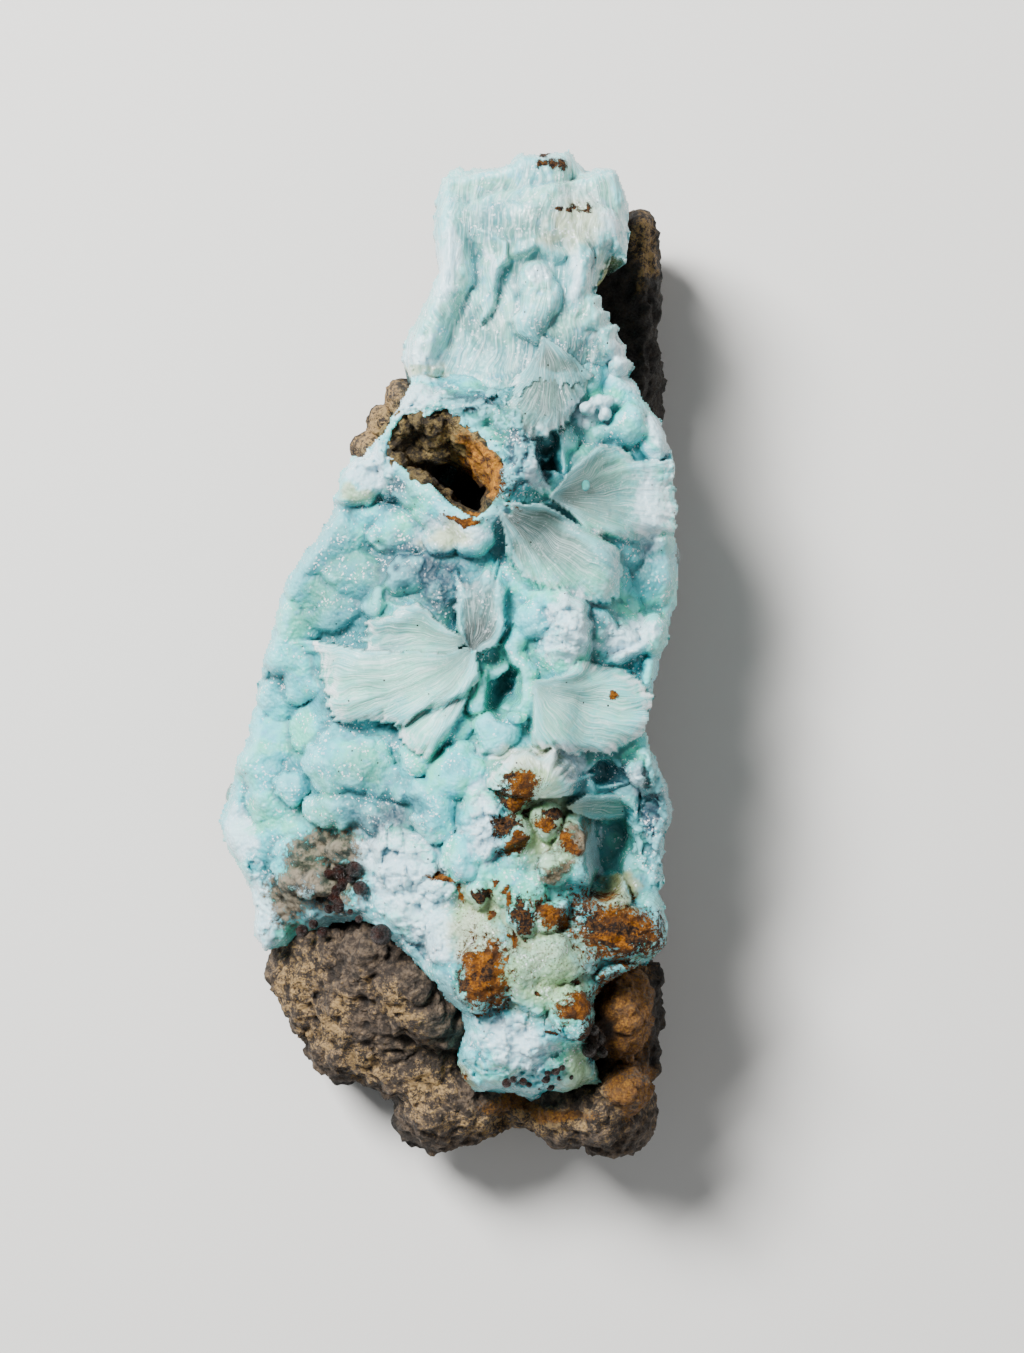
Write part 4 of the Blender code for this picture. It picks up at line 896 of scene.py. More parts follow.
# crests with a gentle and a steep side: points with rise, width on each side, fall
crests = {
    "left column": (((0.6, 52, 1.0), (1.0, 47, 2.0), (0.5, 43, 2.4), (-0.7, 39, 2.0), (-1.9, 35, 1.5), (-2.4, 32.6, 0.7)), 2.4, 3.4, 3.2),
    "second ridge": (((4.0, 50, 0.7), (6.6, 48.4, 1.6), (7.0, 46.4, 1.9), (6.2, 43.4, 1.7), (5.4, 40.2, 0.7)), 0.8, 3.0, 2.8),
    "arch": (((8.4, 47.6, 0.7), (11, 48.6, 1.1), (13.6, 47.4, 0.9)), 1.6, 1.2, 1.6),
    "shell edge": (((1.6, 51.8, 0.8), (4, 53.6, 1.1), (8, 54.8, 1.2), (13, 55.2, 1.4), (18, 56.4, 1.3), (21, 57.2, 0.8)), 0.7, 4.0, 1.5),
    "upper shell": (((0.2, 56.2, 0.3), (4.4, 56.8, 0.7), (8.6, 57.4, 1.1), (10.8, 59.4, 0.9)), 0.8, 2.4, 1.4),
    "collar": (((-7.4, 24.6, 1.3), (-6.6, 27.6, 1.5), (-4.6, 29.6, 1.5), (-1, 30, 1.6), (3, 29.5, 1.7), (6, 28, 1.7),
                (8.4, 25.8, 1.4), (9.4, 22.5, 1.2), (8.6, 19.4, 1.2), (7.4, 17.2, 1.2)), 2.4, 1.8, 2.2),
    "lower collar": (((-7.6, 24.2, 1.4), (-6.6, 21.8, 1.7), (-4, 19.6, 1.7), (-1, 17.4, 1.6), (1, 15.8, 1.6), (3.6, 14.8, 1.7), (6, 15.6, 1.4)), 1.5, 2.2, 2.2),
    "spur lip": (((-13, 18.9, 0.9), (-11.4, 18.4, 1.3), (-9.4, 19.4, 1.1), (-8.4, 20.4, 0.6)), 1.1, 0.8, 1.5),
    "bar": (((18, -2.2, 1.0), (20.6, -0.6, 1.9), (24.2, 1.2, 1.6)), 1.0, 0.8, 1.8),
    "right rim": (((24.6, -11.6, 0.6), (26.0, -15, 2.4), (26.6, -18.8, 2.8), (25.8, -23.4, 2.2), (25.8, -28, 1.4)), 1.2, 1.6, 2.0),
    "left shelf": (((-26.6, -20, 0.6), (-24.4, -26, 0.9), (-22.4, -31, 1.0), (-21.8, -35.6, 0.6)), 2.0, 1.6, 1.6),
    "white plate": (((12.6, 6.8, 1.4), (14.8, 6.6, 2.8), (16.5, 5.2, 3.1), (16.6, 1.6, 3.0), (15.7, -2.2, 1.2)), 0.8, 4.4, 3.0),
}

# where the surface is knobby, crystalline, fibrous or smooth: x, y, half widths, turn
textures = {
    "knobby": ((-12, 2, 12, 20, 20), (-20, -12, 8, 10, 0), (-6, -15, 10, 6, 0), (18, 6, 10, 8, 0), (20, 22, 7, 7, 0), (0, 10, 8, 6, 0)),
    "crystalline": ((-4.5, -28, 5.4, 7.6, 10), (8.6, -47.6, 7.4, 5.4, 0), (-23, -31, 3.6, 6, 0), (25.6, -20, 2.6, 10, 0),
                    (9, 22.6, 3.4, 5, 0), (-3, 30.6, 5, 2.4, 0), (5, 28.6, 5, 2.6, 0), (-7, 25, 2.4, 4, 0), (4.8, -20.4, 2.6, 4.4, 0), (25.4, 19, 2.6, 5, 0), (22, 0, 4, 3.4, 20), (13.6, 2.8, 2.6, 4.2, 0),
                    (11.2, 44, 2.0, 2.2, 0), (-2.6, 34, 2.4, 2.2, 0)),
    "crumbly": patchTables["rust"] + patchTables["dirt"],
}


def areaShare(points, table):
    return np.clip((patchValue(points, table) - 0.32) / 0.3, 0, 1)


def ellipseDistance(x, y, centre, wide, long, turn):
    a = math.radians(turn)
    dx = x - centre[0]
    dy = y - centre[1]
    u = (dx * math.cos(a) + dy * math.sin(a)) / wide
    v = (dy * math.cos(a) - dx * math.sin(a)) / long
    return u * u + v * v


def insideAll(x, y, edge):
    found = np.zeros(len(x), bool)
    last = edge[-1]
    for here in edge:
        if here[1] != last[1]:
            crosses = (here[1] > y) != (last[1] > y)
            found ^= crosses & (x < (last[0] - here[0]) * (y - here[1]) / (last[1] - here[1]) + here[0])
        last = here
    return found


def lineDistance(x, y, line, closed=False):
    # distance to the nearest stretch, its side (left is positive) and the place along it
    best = np.full(len(x), 1e9)
    side = np.zeros(len(x))
    place = np.zeros(len(x))
    count = len(line)
    for spot in range(count if closed else count - 1):
        ax, ay = line[spot][:2]
        bx, by = line[(spot + 1) % count][:2]
        ex, ey = bx - ax, by - ay
        along = np.clip(((x - ax) * ex + (y - ay) * ey) / max(ex * ex + ey * ey, 1e-9), 0, 1)
        ox, oy = x - ax - along * ex, y - ay - along * ey
        far = np.hypot(ox, oy)
        nearer = far < best
        best = np.where(nearer, far, best)
        side = np.where(nearer, ex * (y - ay) - ey * (x - ax), side)
        place = np.where(nearer, spot + along, place)
    return best, side, place


def frontHeight(x, y, lumpNames, crestNames, sink, blend):
    ground = reliefAt(x, y)
    total = np.exp(blend * (ground - sink + 0.5 * softNoise(np.stack((x, y, x * 0), 1) / 4.5, 4) - 30))
    for name in lumpNames:
        for px, py, rise, wide, long, dome, *turn in lumps[name]:
            r2 = ellipseDistance(x, y, (px, py), wide, long, turn[0] if turn else 0)
            on = r2 < 1
            own = 0.5 * ground[on] + 0.5 * float(reliefAt(px, py)[0]) + rise
            total[on] += np.exp(blend * (own - dome * (1 - np.sqrt(1 - r2[on])) - 30))
    for name in crestNames:
        line, left, right, fall = crests[name]
        far, side, place = lineDistance(x, y, line)
        rises = np.interp(place, range(len(line)), [spot[2] for spot in line])
        share = far / np.where(side > 0, left, right)
        on = share < 1.25
        total[on] += np.exp(blend * (ground[on] + rises[on] - fall * share[on] ** 2.2 - 30))
    return np.log(total) / blend + 30


# fans of radiating fibres: origin, rim points, rise above the relief at the origin and at the rim
fans = {
    "wide fan": {"origin": (4.1, 0.5), "low": 1.4, "rise": 2.9, "arch": 0.9, "bend": 0.9, "fold": 0.55, "smoke": 0.0, "rim": (
        (-3, -0.7), (-9, 0.7), (-12, 1.3), (-15.2, 1.4), (-15.5, -1.6), (-14.6, -4.5), (-13.6, -7), (-12, -8.3),
        (-9.8, -7.9), (-7.7, -8.9), (-4.8, -9.2), (-3.2, -7.6), (0.2, -6.5), (2.6, -5.6), (4.4, -3.4))},
    "upper lobe": {"origin": (4.1, 0.9), "low": 1.0, "rise": 2.3, "arch": 0.3, "bend": -0.5, "fold": 0.4, "smoke": 0.1, "rim": (
        (1.8, 1.9), (-0.8, 2.4), (-2.8, 3.4), (-3.2, 5.6), (-5.8, 5.4), (-6.2, 4.2), (-9.8, 3.6), (-9.4, 0.2), (-6, -1.6), (-2, -1.4))},
    "lower lobe": {"origin": (4.1, 0), "low": 0.6, "rise": 2.0, "arch": 0.4, "bend": 0.4, "fold": 0.4, "smoke": 0.25, "rim": (
        (4.2, -3), (2.4, -6.8), (0.9, -9.6), (-1.6, -12), (-3.6, -12.4), (-5.6, -10.2), (-7, -7), (-5, -4.6))},
    "upright fan": {"origin": (3.6, -0.6), "low": 1.2, "rise": 3.0, "arch": 0.3, "bend": -0.5, "fold": 0.5, "smoke": 1.35, "rim": (
        (1.6, 2.4), (1.1, 5.6), (1.3, 8.6), (3.3, 8.9), (5.6, 9.2), (7.2, 6.6), (7.4, 3.2), (6.4, 0.6))},
    "smoky fan": {"origin": (6.2, 17.4), "low": 0.2, "rise": 2.9, "arch": 0.9, "bend": 0.4, "fold": 0.6, "smoke": 0.85, "rim": (
        (11, 17.4), (15.5, 15.4), (18, 14.4), (20, 12.4), (21.4, 9.4), (21.2, 6.6), (19.4, 5.8), (16, 6.4), (12.6, 7.6), (9.4, 9), (7.4, 12))},
    "right plate": {"origin": (12.4, 18.0), "low": 0.6, "rise": 2.0, "arch": 0.9, "bend": 0.5, "fold": 0.6, "smoke": 0.6, "rim": (
        (16, 22.4), (19, 24.8), (21.6, 24.2), (24, 23), (27.6, 23.2), (28.2, 19), (27.2, 14.6), (24.6, 13.4), (21, 13.4), (17, 14.2))},
    "grey fan": {"origin": (12, 37.4), "low": 0.8, "rise": 1.8, "arch": 0.7, "bend": 0.5, "fold": 0.6, "smoke": 0.7, "rim": (
        (8.4, 32.6), (7.2, 28.4), (9, 25.6), (12.2, 25.2), (14.6, 27), (17.4, 30.6), (18, 33))},
    "lower fan": {"origin": (10.4, -3.4), "low": 1.2, "rise": 2.4, "arch": 1.2, "bend": -0.9, "fold": 0.5, "smoke": 0.0, "rim": (
        (15.6, -0.8), (20, -1.8), (23.4, -3.2), (25.2, -5.4), (24.8, -7), (25.6, -8.2), (23.6, -10), (20, -12.3), (16, -12), (14, -11), (10.4, -10.8))},
    "white ridge": {"origin": (10.6, -17.4), "low": 1.2, "rise": 2.6, "arch": 0.4, "bend": 0.0, "fold": 0.4, "smoke": 0.0, "rim": (
        (4.6, -15.6), (5.4, -13.8), (7.5, -12.3), (9, -11.5), (10.8, -11.4), (12.6, -12), (13.6, -13.6), (16.2, -15.3), (14.6, -17.2))},
    "blade": {"origin": (14.4, -18.4), "low": 1.6, "rise": 1.8, "arch": 0.3, "bend": 0.0, "fold": 0.3, "smoke": 0.5, "rim": (
        (17, -17), (20, -16.8), (23.6, -17.4), (24.4, -18.6), (22, -20.4), (18, -20.2))},
}
fanShape = {"jag": 0.7, "moat": 0.4, "ridges": ((2.8, 0.34), (1.2, 0.2), (0.6, 0.1)), "tip": 1.7}


def placeOnFan(x, y, fan):
    # how far out each spot lies (1 at the rim) and its place round the rim in mm
    rim = np.array(fan["rim"], float)
    length = np.concatenate(([0], np.cumsum(np.hypot(*np.diff(rim, axis=0).T))))
    dx = x - fan["origin"][0]
    dy = y - fan["origin"][1]
    out = np.full(len(x), 9.0)
    around = np.zeros(len(x))
    for spot in range(len(rim) - 1):
        ax, ay = rim[spot] - fan["origin"]
        ex, ey = rim[spot + 1] - rim[spot]
        cross = dx * ey - dy * ex
        cross = np.where(np.abs(cross) < 1e-9, 1e-9, cross)
        share = (ax * dy - ay * dx) / cross
        here = cross / (ax * ey - ay * ex)
        hit = (here > 0) & (share >= 0) & (share <= 1) & (here < out)
        out = np.where(hit, here, out)
        around = np.where(hit, length[spot] + share * (length[spot + 1] - length[spot]), around)
    return out, around


def layFans(x, y, front, names):
    # the fans rise out of the front at their origin and stand over it at their rim
    marks = {name: np.zeros(len(x)) for name in ("fan", "smoke", "fanOut", "fanRound")}
    flat = np.zeros(len(x))
    ground = reliefAt(x, y)
    for count, name in enumerate(names):
        fan = fans[name]
        far = np.maximum(np.hypot(x - fan["origin"][0], y - fan["origin"][1]), 0.01)
        out = placeOnFan(x, y, fan)[0]
        swing = fan["bend"] * np.sin(np.pi * np.clip(out, 0, 1)) / far
        out, around = placeOnFan(x + (y - fan["origin"][1]) * swing, y - (x - fan["origin"][0]) * swing, fan)
        seed = 40 + count * 11
        jag = softNoise(np.stack((around / 2.1, flat, flat), 1), seed) + 0.6 * softNoise(np.stack((around / 0.45, flat, flat), 1), seed + 1)
        reach = far / np.maximum(out, 0.01)
        out = out / (1 + fanShape["jag"] * jag * np.clip(out, 0, 1) ** 4 / np.maximum(reach, 1))
        v = np.clip(out, 0, 1)
        z = ground + fan["low"] + (fan["rise"] - fan["low"]) * v + fan["arch"] * np.sin(np.pi * v ** 0.8)
        for width, deep in fanShape["ridges"]:
            z += deep * (0.5 - np.abs(softNoise(np.stack((around / width, v * 1.6, flat), 1), seed + 2))) * v ** 1.1
        z += softNoise(np.stack((around / 4.2, v * 1.7, flat), 1), seed + 5) * fan["fold"] * 1.5 * v ** 1.3
        z -= fanShape["tip"] * np.clip((v - 0.72) / 0.28, 0, 1) ** 2.4
        beside = (out - 1) * reach
        near = (out < 8) & (beside > 0) & (beside < 2.4)
        meld = np.clip(0.55 + 1.6 * softNoise(np.stack((x / 5.0, y / 5.0, flat), 1), seed + 7), 0, 1)
        skirt = np.where(near, z - 1.3 * beside, front)
        front = front + meld * np.clip(skirt - front, 0, 9)
        front = front - np.where(near & (beside < 1.1), fanShape["moat"] * (1 - meld) * (1 - beside / 1.1), 0)
        over = np.clip((z - front) / 0.5, 0, 1)
        on = (out < 1) & (z > front - 0.3)
        front = np.where(on, np.log(np.exp(3 * (z - 30)) + np.exp(3 * (front - 30))) / 3 + 30, front)
        fibrous = over * (1 - 0.65 * fan["smoke"] * v ** 2)
        for mark, value in (("fan", fibrous), ("smoke", fan["smoke"] * (1.2 - 1.1 * v) * over), ("fanOut", out), ("fanRound", around + count * 40)):
            marks[mark] = np.where(on, value, marks[mark])
    return front, marks


def growSkin(name, edge, spacing, lumpNames, crestNames, fanNames, sink, blend, drop, cover, fray):
    west, east = min(p[0] for p in edge) - 1, max(p[0] for p in edge) + 1
    south, north = min(p[1] for p in edge) - 1, max(p[1] for p in edge) + 1
    deselectAll()
    bpy.ops.mesh.primitive_grid_add(x_subdivisions=int((east - west) / spacing), y_subdivisions=int((north - south) / spacing), size=1)
    skin = bpy.context.object
    skin.name = name
    points = readPoints(skin) * mm
    points[:, 0] = west + (points[:, 0] + 0.5) * (east - west)
    points[:, 1] = south + (points[:, 1] + 0.5) * (north - south)
    writePoints(skin, points)
    frayed = points + np.stack((softNoise(points / 0.9, 3), softNoise(points / 0.9, 4), points[:, 2] * 0), 1) * 0.3
    frayed[:, 1] += fray * (np.abs(softNoise(points / np.array((0.7, 9, 1)), 6)) * 1.6 + np.abs(softNoise(points / np.array((0.34, 5, 1)), 7)) - 0.5)
    outside = ~insideAll(frayed[:, 0], frayed[:, 1], edge)
    removeMarked(skin, outside)
    points = readPoints(skin)
    x, y = points[:, 0], points[:, 1]
    shift = wander(points, 0.75, 0.24)
    z = frontHeight(x + shift[:, 0], y + shift[:, 1], lumpNames, crestNames, sink, blend)
    margin = lineDistance(x, y, edge, True)[0]
    z -= drop * (1 - np.clip(margin / 1.7, 0, 1)) ** 2.2
    for px, py, wide, long, turn, floor in pockets:
        r2 = ellipseDistance(x + shift[:, 0] * 1.3, y + shift[:, 1] * 1.3, (px, py), wide * 1.25, long * 1.25, turn)
        z -= np.clip(z - floor, 0, 99) * np.clip(1 - r2, 0, 1) ** 0.9
    z, marks = layFans(x + 0.35 * shift[:, 0], y + 0.35 * shift[:, 1], z, fanNames)
    points[:, 2] = z
    points[:, 2] += cover(points) * (1 - 0.85 * marks["fan"])
    inMouth = insideAll(x, y, hollowEdge)
    points[:, 2] = np.where(inMouth, 14, points[:, 2])
    writePoints(skin, points)
    for mark, values in marks.items():
        keepNumbers(skin, mark, values)
    return skin


def removeMarked(piece, marked):
    makeActive(piece)
    bpy.ops.object.mode_set(mode="EDIT")
    bpy.ops.mesh.select_mode(type="VERT")
    bpy.ops.mesh.select_all(action="DESELECT")
    bpy.ops.object.mode_set(mode="OBJECT")
    piece.data.vertices.foreach_set("select", marked)
    bpy.ops.object.mode_set(mode="EDIT")
    bpy.ops.mesh.delete(type="VERT")
    bpy.ops.object.mode_set(mode="OBJECT")


def closeSkin(skin, foot, centre, share):
    # the rim goes down outside the body, then in and down to a flat cap inside it
    makeActive(skin)
    bpy.ops.object.mode_set(mode="EDIT")
    bpy.ops.mesh.select_mode(type="EDGE")
    bpy.ops.mesh.select_all(action="SELECT")
    bpy.ops.mesh.region_to_loop()
    bpy.ops.mesh.extrude_edges_move(TRANSFORM_OT_translate={"value": (0, 0, -foot * mm)})
    bpy.ops.object.mode_set(mode="OBJECT")
    count = len(skin.data.vertices)
    bpy.ops.object.mode_set(mode="EDIT")
    bpy.ops.mesh.extrude_edges_move(TRANSFORM_OT_translate={"value": (0, 0, -mm)})
    bpy.ops.mesh.edge_face_add()
    bpy.ops.object.mode_set(mode="OBJECT")
    points = readPoints(skin)
    points[count:, :2] = np.array(centre) + (points[count:, :2] - np.array(centre)) * share
    points[count:, 2] = 11
    writePoints(skin, points)
    bpy.ops.object.mode_set(mode="EDIT")
    bpy.ops.mesh.select_all(action="SELECT")
    bpy.ops.mesh.normals_make_consistent(inside=False)
    bpy.ops.object.mode_set(mode="OBJECT")


def druseCover(points):
    knobby = areaShare(points, textures["knobby"])
    crystalline = areaShare(points, textures["crystalline"])
    crumbly = areaShare(points, textures["crumbly"])
    moved = points + wander(points, 0.5, 0.2)
    cover = knobby * (0.34 * (cellBumps(moved / 2.5, 21) - 0.6) + 0.2 * (cellBumps(moved / 1.15, 31) - 0.6))
    cover += crystalline * (0.9 * facets(moved / 2.4, 41) + 0.5 * facets(points / 1.2, 51) + 0.2 * facets(points / 0.6, 55))
    cover += crumbly * (0.6 * (cellBumps(moved / 1.05, 61) - 0.5) + 0.3 * softNoise(points / 0.7, 71))
    cover += 0.28 * softNoise(points / 2.3, 81) + 0.1 * (0.5 - np.abs(softNoise(points / 1.0, 91)))
    return cover + 0.07 * facets(points / 0.8, 95)


def fibreCover(points):
    crystalline = areaShare(points, textures["crystalline"])
    lean = points.copy()
    lean[:, 0] += 0.12 * (points[:, 1] - 45) * np.sin((points[:, 0] - 8) / 6) + 1.1 * softNoise(points / 6.0, 63)
    cover = np.zeros(len(points))
    for width, length, depth, seed in ((2.4, 12.0, 0.4, 13), (0.9, 8.0, 0.16, 23), (0.45, 6.0, 0.1, 29)):
        cover += depth * (0.5 - np.abs(softNoise(lean / np.array((width, length, 3.0)), seed)))
    cover += 0.45 * softNoise(points / 4.6, 33) + crystalline * 0.5 * facets(points / 1.1, 43)
    return cover + 0.07 * softNoise(points / 0.9, 53) + 0.1 * facets(points / np.array((1.2, 2.6, 1.2)), 57)


druseSkin = {"spacing": 0.205, "sink": 1.2, "blend": 2.3, "drop": 2.4, "foot": 3.2}
mainEdge = [p for p in crustEdge if p[1] < 36]


def buildDruseSkin():
    skin = growSkin("druseSkin", mainEdge, druseSkin["spacing"], ("left field", "hollow", "right side", "recess", "lower left", "stained mound"),
                    ("collar", "lower collar", "spur lip", "bar", "right rim", "left shelf", "white plate"), list(fans),
                    druseSkin["sink"], druseSkin["blend"], druseSkin["drop"], druseCover, 0)
    closeSkin(skin, druseSkin["foot"], (2, -10), 0.88)
    finishPiece(skin, druse, "hemimorphite_crust", 24)


buildDruseSkin()

# the top block ends below in a ragged step above the hollow
topBlock = {
    "spacing": 0.17, "sink": 0.6, "blend": 2.6, "drop": 2.6, "foot": 3.6,
    "lowEdge": ((20.6, 32.4), (18.4, 33.4), (16.4, 32.2), (13.8, 31.6), (11.4, 32.2), (9, 30.4), (6.6, 30), (4.2, 30.8),
                (2.2, 31.6), (0.8, 31), (-0.8, 32), (-2.4, 31.4), (-4.2, 32.4)),
}


def buildTopBlock():
    edge = [p for p in crustEdge if p[1] > 32.5]
    first = edge.index((-4.9, 35))
    edge = edge[first:] + edge[:first]
    edge += list(topBlock["lowEdge"])
    block = growSkin("topBlock", edge, topBlock["spacing"], ("top block",), ("left column", "second ridge", "arch", "shell edge", "upper shell"), ("grey fan",),
                     topBlock["sink"], topBlock["blend"], topBlock["drop"], fibreCover, 0.5)
    closeSkin(block, topBlock["foot"], (9, 45), 0.78)
    finishPiece(block, columnStone, "hemimorphite_crust", 30)


buildTopBlock()

# small lumps that stand free of the skin: x, y, rise, half widths, half height, turn
freeLumps = {"voxel": 0.2, "table": (
    (18.8, 29.8, 2.0, 1.5, 0.9, 1.4, 10), (17, 29, 1.7, 1.1, 0.9, 1.2), (19.2, 28.2, 1.6, 0.8, 0.8, 1.0),
    (16.4, 20, 1.9, 1.0, 0.8, 0.8, -20), (8.6, -7.8, 1.5, 1.1, 0.7, 0.9), (14.0, 7.6, 2.0, 0.9, 0.7, 0.8, 30),
    (9.6, -7.4, 1.3, 0.5, 0.4, 0.6),
)}


def buildFreeLumps():
    small = joinLumps(lumpsOnRelief(freeLumps["table"]), "freeLumps")
    growTogether(small, freeLumps["voxel"])
    roughGrain(small, ((0.8, 0.25, "soft", 4), (0.5, 0.12, "ridges", 7)))
    finishPiece(small, druse, "hemimorphite_crust", 10)


buildFreeLumps()

# the rock: slab behind the crust, bare lower part, shoulder by the hollow
rock = {
    "voxel": 0.42, "slabTop": 17, "step": 3.2, "swell": 4.8, "tall": 9,
    "bareEdge": (
        (-20.3, -38), (-15, -34.5), (-11, -33.5), (-7, -34.5), (-3, -38.5), (0, -42),
        (1.8, -46), (1, -51), (4, -55.2), (11, -55), (18, -54), (25, -54), (23, -57.5),
        (20.5, -59.5), (12, -60), (5, -58.8), (-2, -58.3), (-6.5, -54), (-11, -51),
        (-15.5, -49.5), (-18.5, -44.5), (-20.3, -40.5),
    ),
    "shoulder": (
        (-8.2, 24.8, 30, 2.3, 2.4, 12), (-6.8, 27.6, 31, 2.2, 2.6, 12), (-5.0, 30.4, 32, 2.2, 2.6, 12), (5, -55, 19, 4.2, 4.2, 12),
        (21.4, -44.2, 30, 4.3, 5.8, 13), (22, -53, 30, 3.2, 2.9, 11), (18.2, -46.5, 32.5, 1.6, 2.6, 8),
    ),
    "grain": ((5.0, 0.8, "soft", 3), (2.2, 0.5, "ridges", 5), (0.95, 0.45, "soft", 9), (1.2, 0.4, "knobs", 19), (1.5, 0.3, "facets", 29), (3.6, 0.4, "facets", 39)),
}


def buildRock():
    heights = [min(rock["slabTop"], float(reliefAt(x, y)[0]) - 5) for x, y in rockEdge]
    rings = [[(x, y, -1.6) for x, y in shiftedEdge(rockEdge, 4.6)]]
    for part, inward in ((0.3, 1.6), (0.6, 0.2), (0.85, 0.3), (1, 2.0)):
        rings.append([(x, y, top * part) for (x, y), top in zip(shiftedEdge(rockEdge, inward), heights)])
    parts = [loftRings("rockSlab", rings)]
    parts += fieldOfSwells(rock["bareEdge"], 1.6, 0.5, rock["step"], rock["swell"], rock["tall"], 15)
    for x, y, top, wide, long, tall in rock["shoulder"]:
        parts.append(placeLump((x, y, top - tall), (wide, long, tall)))
    body = joinLumps(parts, "rockBody")
    growTogether(body, rock["voxel"])
    soften(body, 2)
    roughGrain(body, rock["grain"])
    cutBelow(body, 0)
    keepNumbers(body, "tan", patchValue(readPoints(body), rockLook["patches"]))
    finishPiece(body, oxideRock, "matrix", 12)


buildRock()

# rusty inner wall of the hollow: it slopes in from the upper left to a bore at the lower right, dark in its own shadow
# and painted near black by the wall's depth shade
boreEdge = (
    (-1.4, 21.6), (-1, 22.3), (-0.2, 22.9), (0.6, 23.1), (1.4, 23), (2.2, 22.6), (3, 22.2), (4, 21.4), (4.9, 20.6),
    (5.5, 19.8), (5.6, 18.6), (5, 17.4), (3.9, 16.6), (2.8, 17), (1.6, 17.9), (0.4, 18.8), (-0.4, 19.4), (-1, 20), (-1.4, 20.6), (-1.5, 21.2),
)
hollowWall = {"voxel": 0.3, "thick": 0.6, "foot": 18, "rise": -0.9,
              "grain": ((2.6, 0.7, "soft", 3), (1.1, 0.5, "ridges", 5), (0.7, 0.3, "knobs", 9))}


def boreCutter():
    rings = []
    for drop, share in ((19.0, 1.0), (12.0, 1.0), (6.0, 0.85), (2.6, 0.4), (-0.4, 0.0), (-14.0, -0.1)):
        ring = []
        for (wx, wy), (bx, by) in zip(hollowEdge, boreEdge):
            top = float(reliefAt(wx, wy)[0])
            ring.append((wx + (bx - wx) * share, wy + (by - wy) * share, top - drop))
        rings.append(ring)
    return loftRings("boreCutter", rings)


def buildHollowWall():
    outer = shiftedEdge(hollowEdge, -hollowWall["thick"])
    tops = [float(reliefAt(x, y)[0]) + hollowWall["rise"] for x, y in hollowEdge]
    wall = loftRings("hollowWall", [[(x, y, hollowWall["foot"] + (top - hollowWall["foot"]) * part) for (x, y), top in zip(outer, tops)] for part in (0, 0.5, 1)])
    growTogether(wall, hollowWall["voxel"])
    cutter = boreCutter()
    carve(wall, cutter)
    dropPiece(cutter)
    growTogether(wall, hollowWall["voxel"])
    points = readPoints(wall)
    pushOut(wall, 0.9 * facets(points / 2.4, 7) * (points[:, 0] < 1))
    roughGrain(wall, hollowWall["grain"])
    keepNumbers(wall, "tan", patchValue(readPoints(wall), rockLook["patches"]))
    finishPiece(wall, limoniteWall, "matrix", 12)


buildHollowWall()

# round dark goethite beads: x, y, radius
beads = {
    "table": (
        (-14, -26.7, 0.6), (-12.7, -26.5, 0.9), (-10.8, -26, 1.0), (-12.2, -28, 0.8), (-10, -28.2, 0.9), (-13, -28.7, 0.7),
        (-12.5, -30, 0.9), (-14, -31, 0.6), (-12.8, -30.8, 0.7), (-11.3, -31.2, 0.4), (-10.2, -32, 0.5), (-17.5, -34, 0.8),
        (-16, -33, 0.6), (-15, -34, 0.7), (-7.5, -33.7, 1.3), (7.5, -51.6, 0.6), (8.3, -51, 0.45), (9.5, -51.4, 0.5),
        (10.2, -52, 0.4), (11.4, -52.2, 0.6), (12.2, -51.2, 0.6), (12.8, -52.4, 0.55), (13.4, -50.2, 0.5), (13.9, -51, 0.5),
        (14.2, -49.7, 0.4), (15.2, -51, 0.4), (12.4, -50.4, 0.4), (-11.2, -27.2, 0.6), (-13.6, -29.6, 0.5), (17.4, -47.6, 0.9),
        (18.6, -46.2, 0.8), (17.9, -45, 0.7), (19, -48, 0.7),
    ),
    "voxel": 0.16,
}


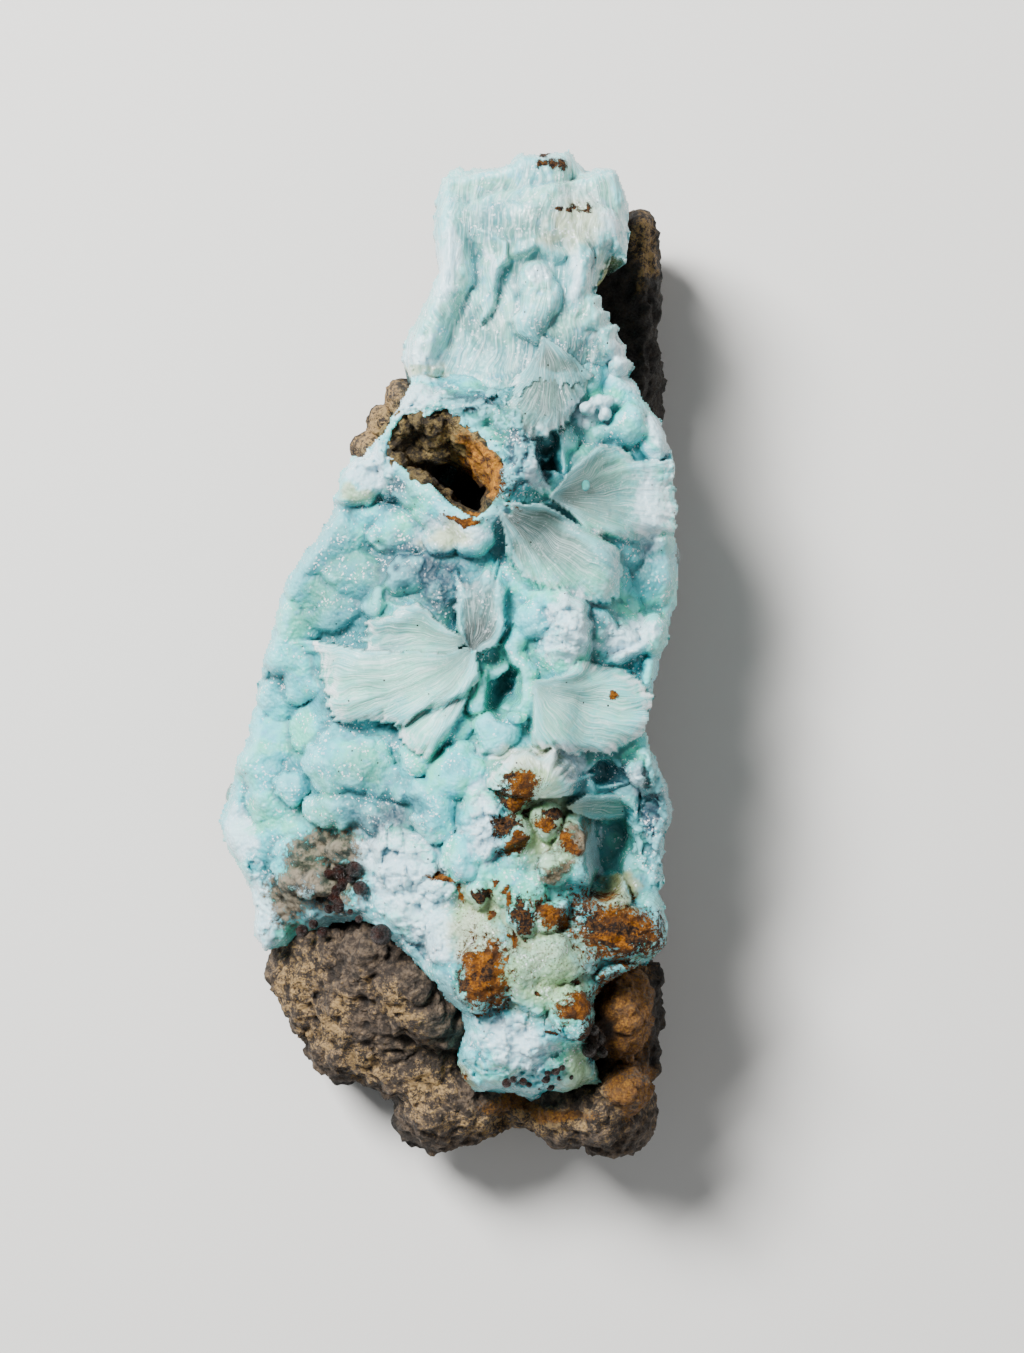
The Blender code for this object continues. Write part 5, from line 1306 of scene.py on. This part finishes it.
def buildBeads():
    grown = []
    for x, y, size in beads["table"]:
        top = float(reliefAt(x, y)[0]) + 1.2
        grown.append(placeLump((x, y, top - size * 0.4), (size, size, size)))
    cluster = joinLumps(grown, "goethiteBeads")
    growTogether(cluster, beads["voxel"])
    keepNumbers(cluster, "tan", np.zeros(len(cluster.data.vertices)))
    finishPiece(cluster, beadStone, "matrix", 4)


buildBeads()
dropPiece(lumpStart)

# floor, light and camera
studio = {"floor": "#D9D7D2", "key": 19.8, "fill": 1.6, "sky": 0.19, "lens": 100, "look": (8.16, -2.88, 30), "away": 451}


def buildStudio():
    deselectAll()
    bpy.ops.mesh.primitive_plane_add(size=3, location=(0, 0, -0.0002))
    floor = bpy.context.object
    floor.name = "floor"
    bpy.ops.object.transform_apply(location=True, rotation=True, scale=True)
    paper, tree, shader = newStone("pale card")
    place = addNode(tree, "ShaderNodeTexCoord", {}, {}, 3)
    mottle = addNode(tree, "ShaderNodeTexNoise", {}, {"Vector": place, "Scale": 9.0, "Detail": 2.0})
    tree.links.new(layColours(tree, hexColour(studio["floor"]), ((mottle, "#DEDCD8"),)), shader.inputs["Base Color"])
    shader.inputs["Roughness"].default_value = 0.9
    floor.data.materials.append(paper)

    def softbox(name, place, size, power):
        light = bpy.data.lights.new(name, "AREA")
        light.energy = power
        light.size = size
        lamp = bpy.data.objects.new(name, light)
        lamp.location = place
        lamp.rotation_euler = (Vector((0.004, 0, 0.03)) - Vector(place)).to_track_quat("-Z", "Y").to_euler()
        bpy.context.collection.objects.link(lamp)

    softbox("keyLight", (-0.34, 0.36, 0.62), 0.26, studio["key"])
    softbox("fillLight", (0.5, -0.3, 0.7), 0.7, studio["fill"])
    world = bpy.data.worlds.new("room")
    bpy.context.scene.world = world
    world.use_nodes = True
    world.node_tree.nodes["Background"].inputs[0].default_value = (0.9, 0.95, 1, 1)
    world.node_tree.nodes["Background"].inputs[1].default_value = studio["sky"]
    camera = bpy.data.cameras.new("camera")
    camera.lens = studio["lens"]
    camera.clip_start = 0.01
    eye = bpy.data.objects.new("camera", camera)
    x, y, z = studio["look"]
    eye.location = (x * mm, y * mm, (z + studio["away"]) * mm)
    bpy.context.collection.objects.link(eye)
    bpy.context.scene.camera = eye


buildStudio()
print("studio made")
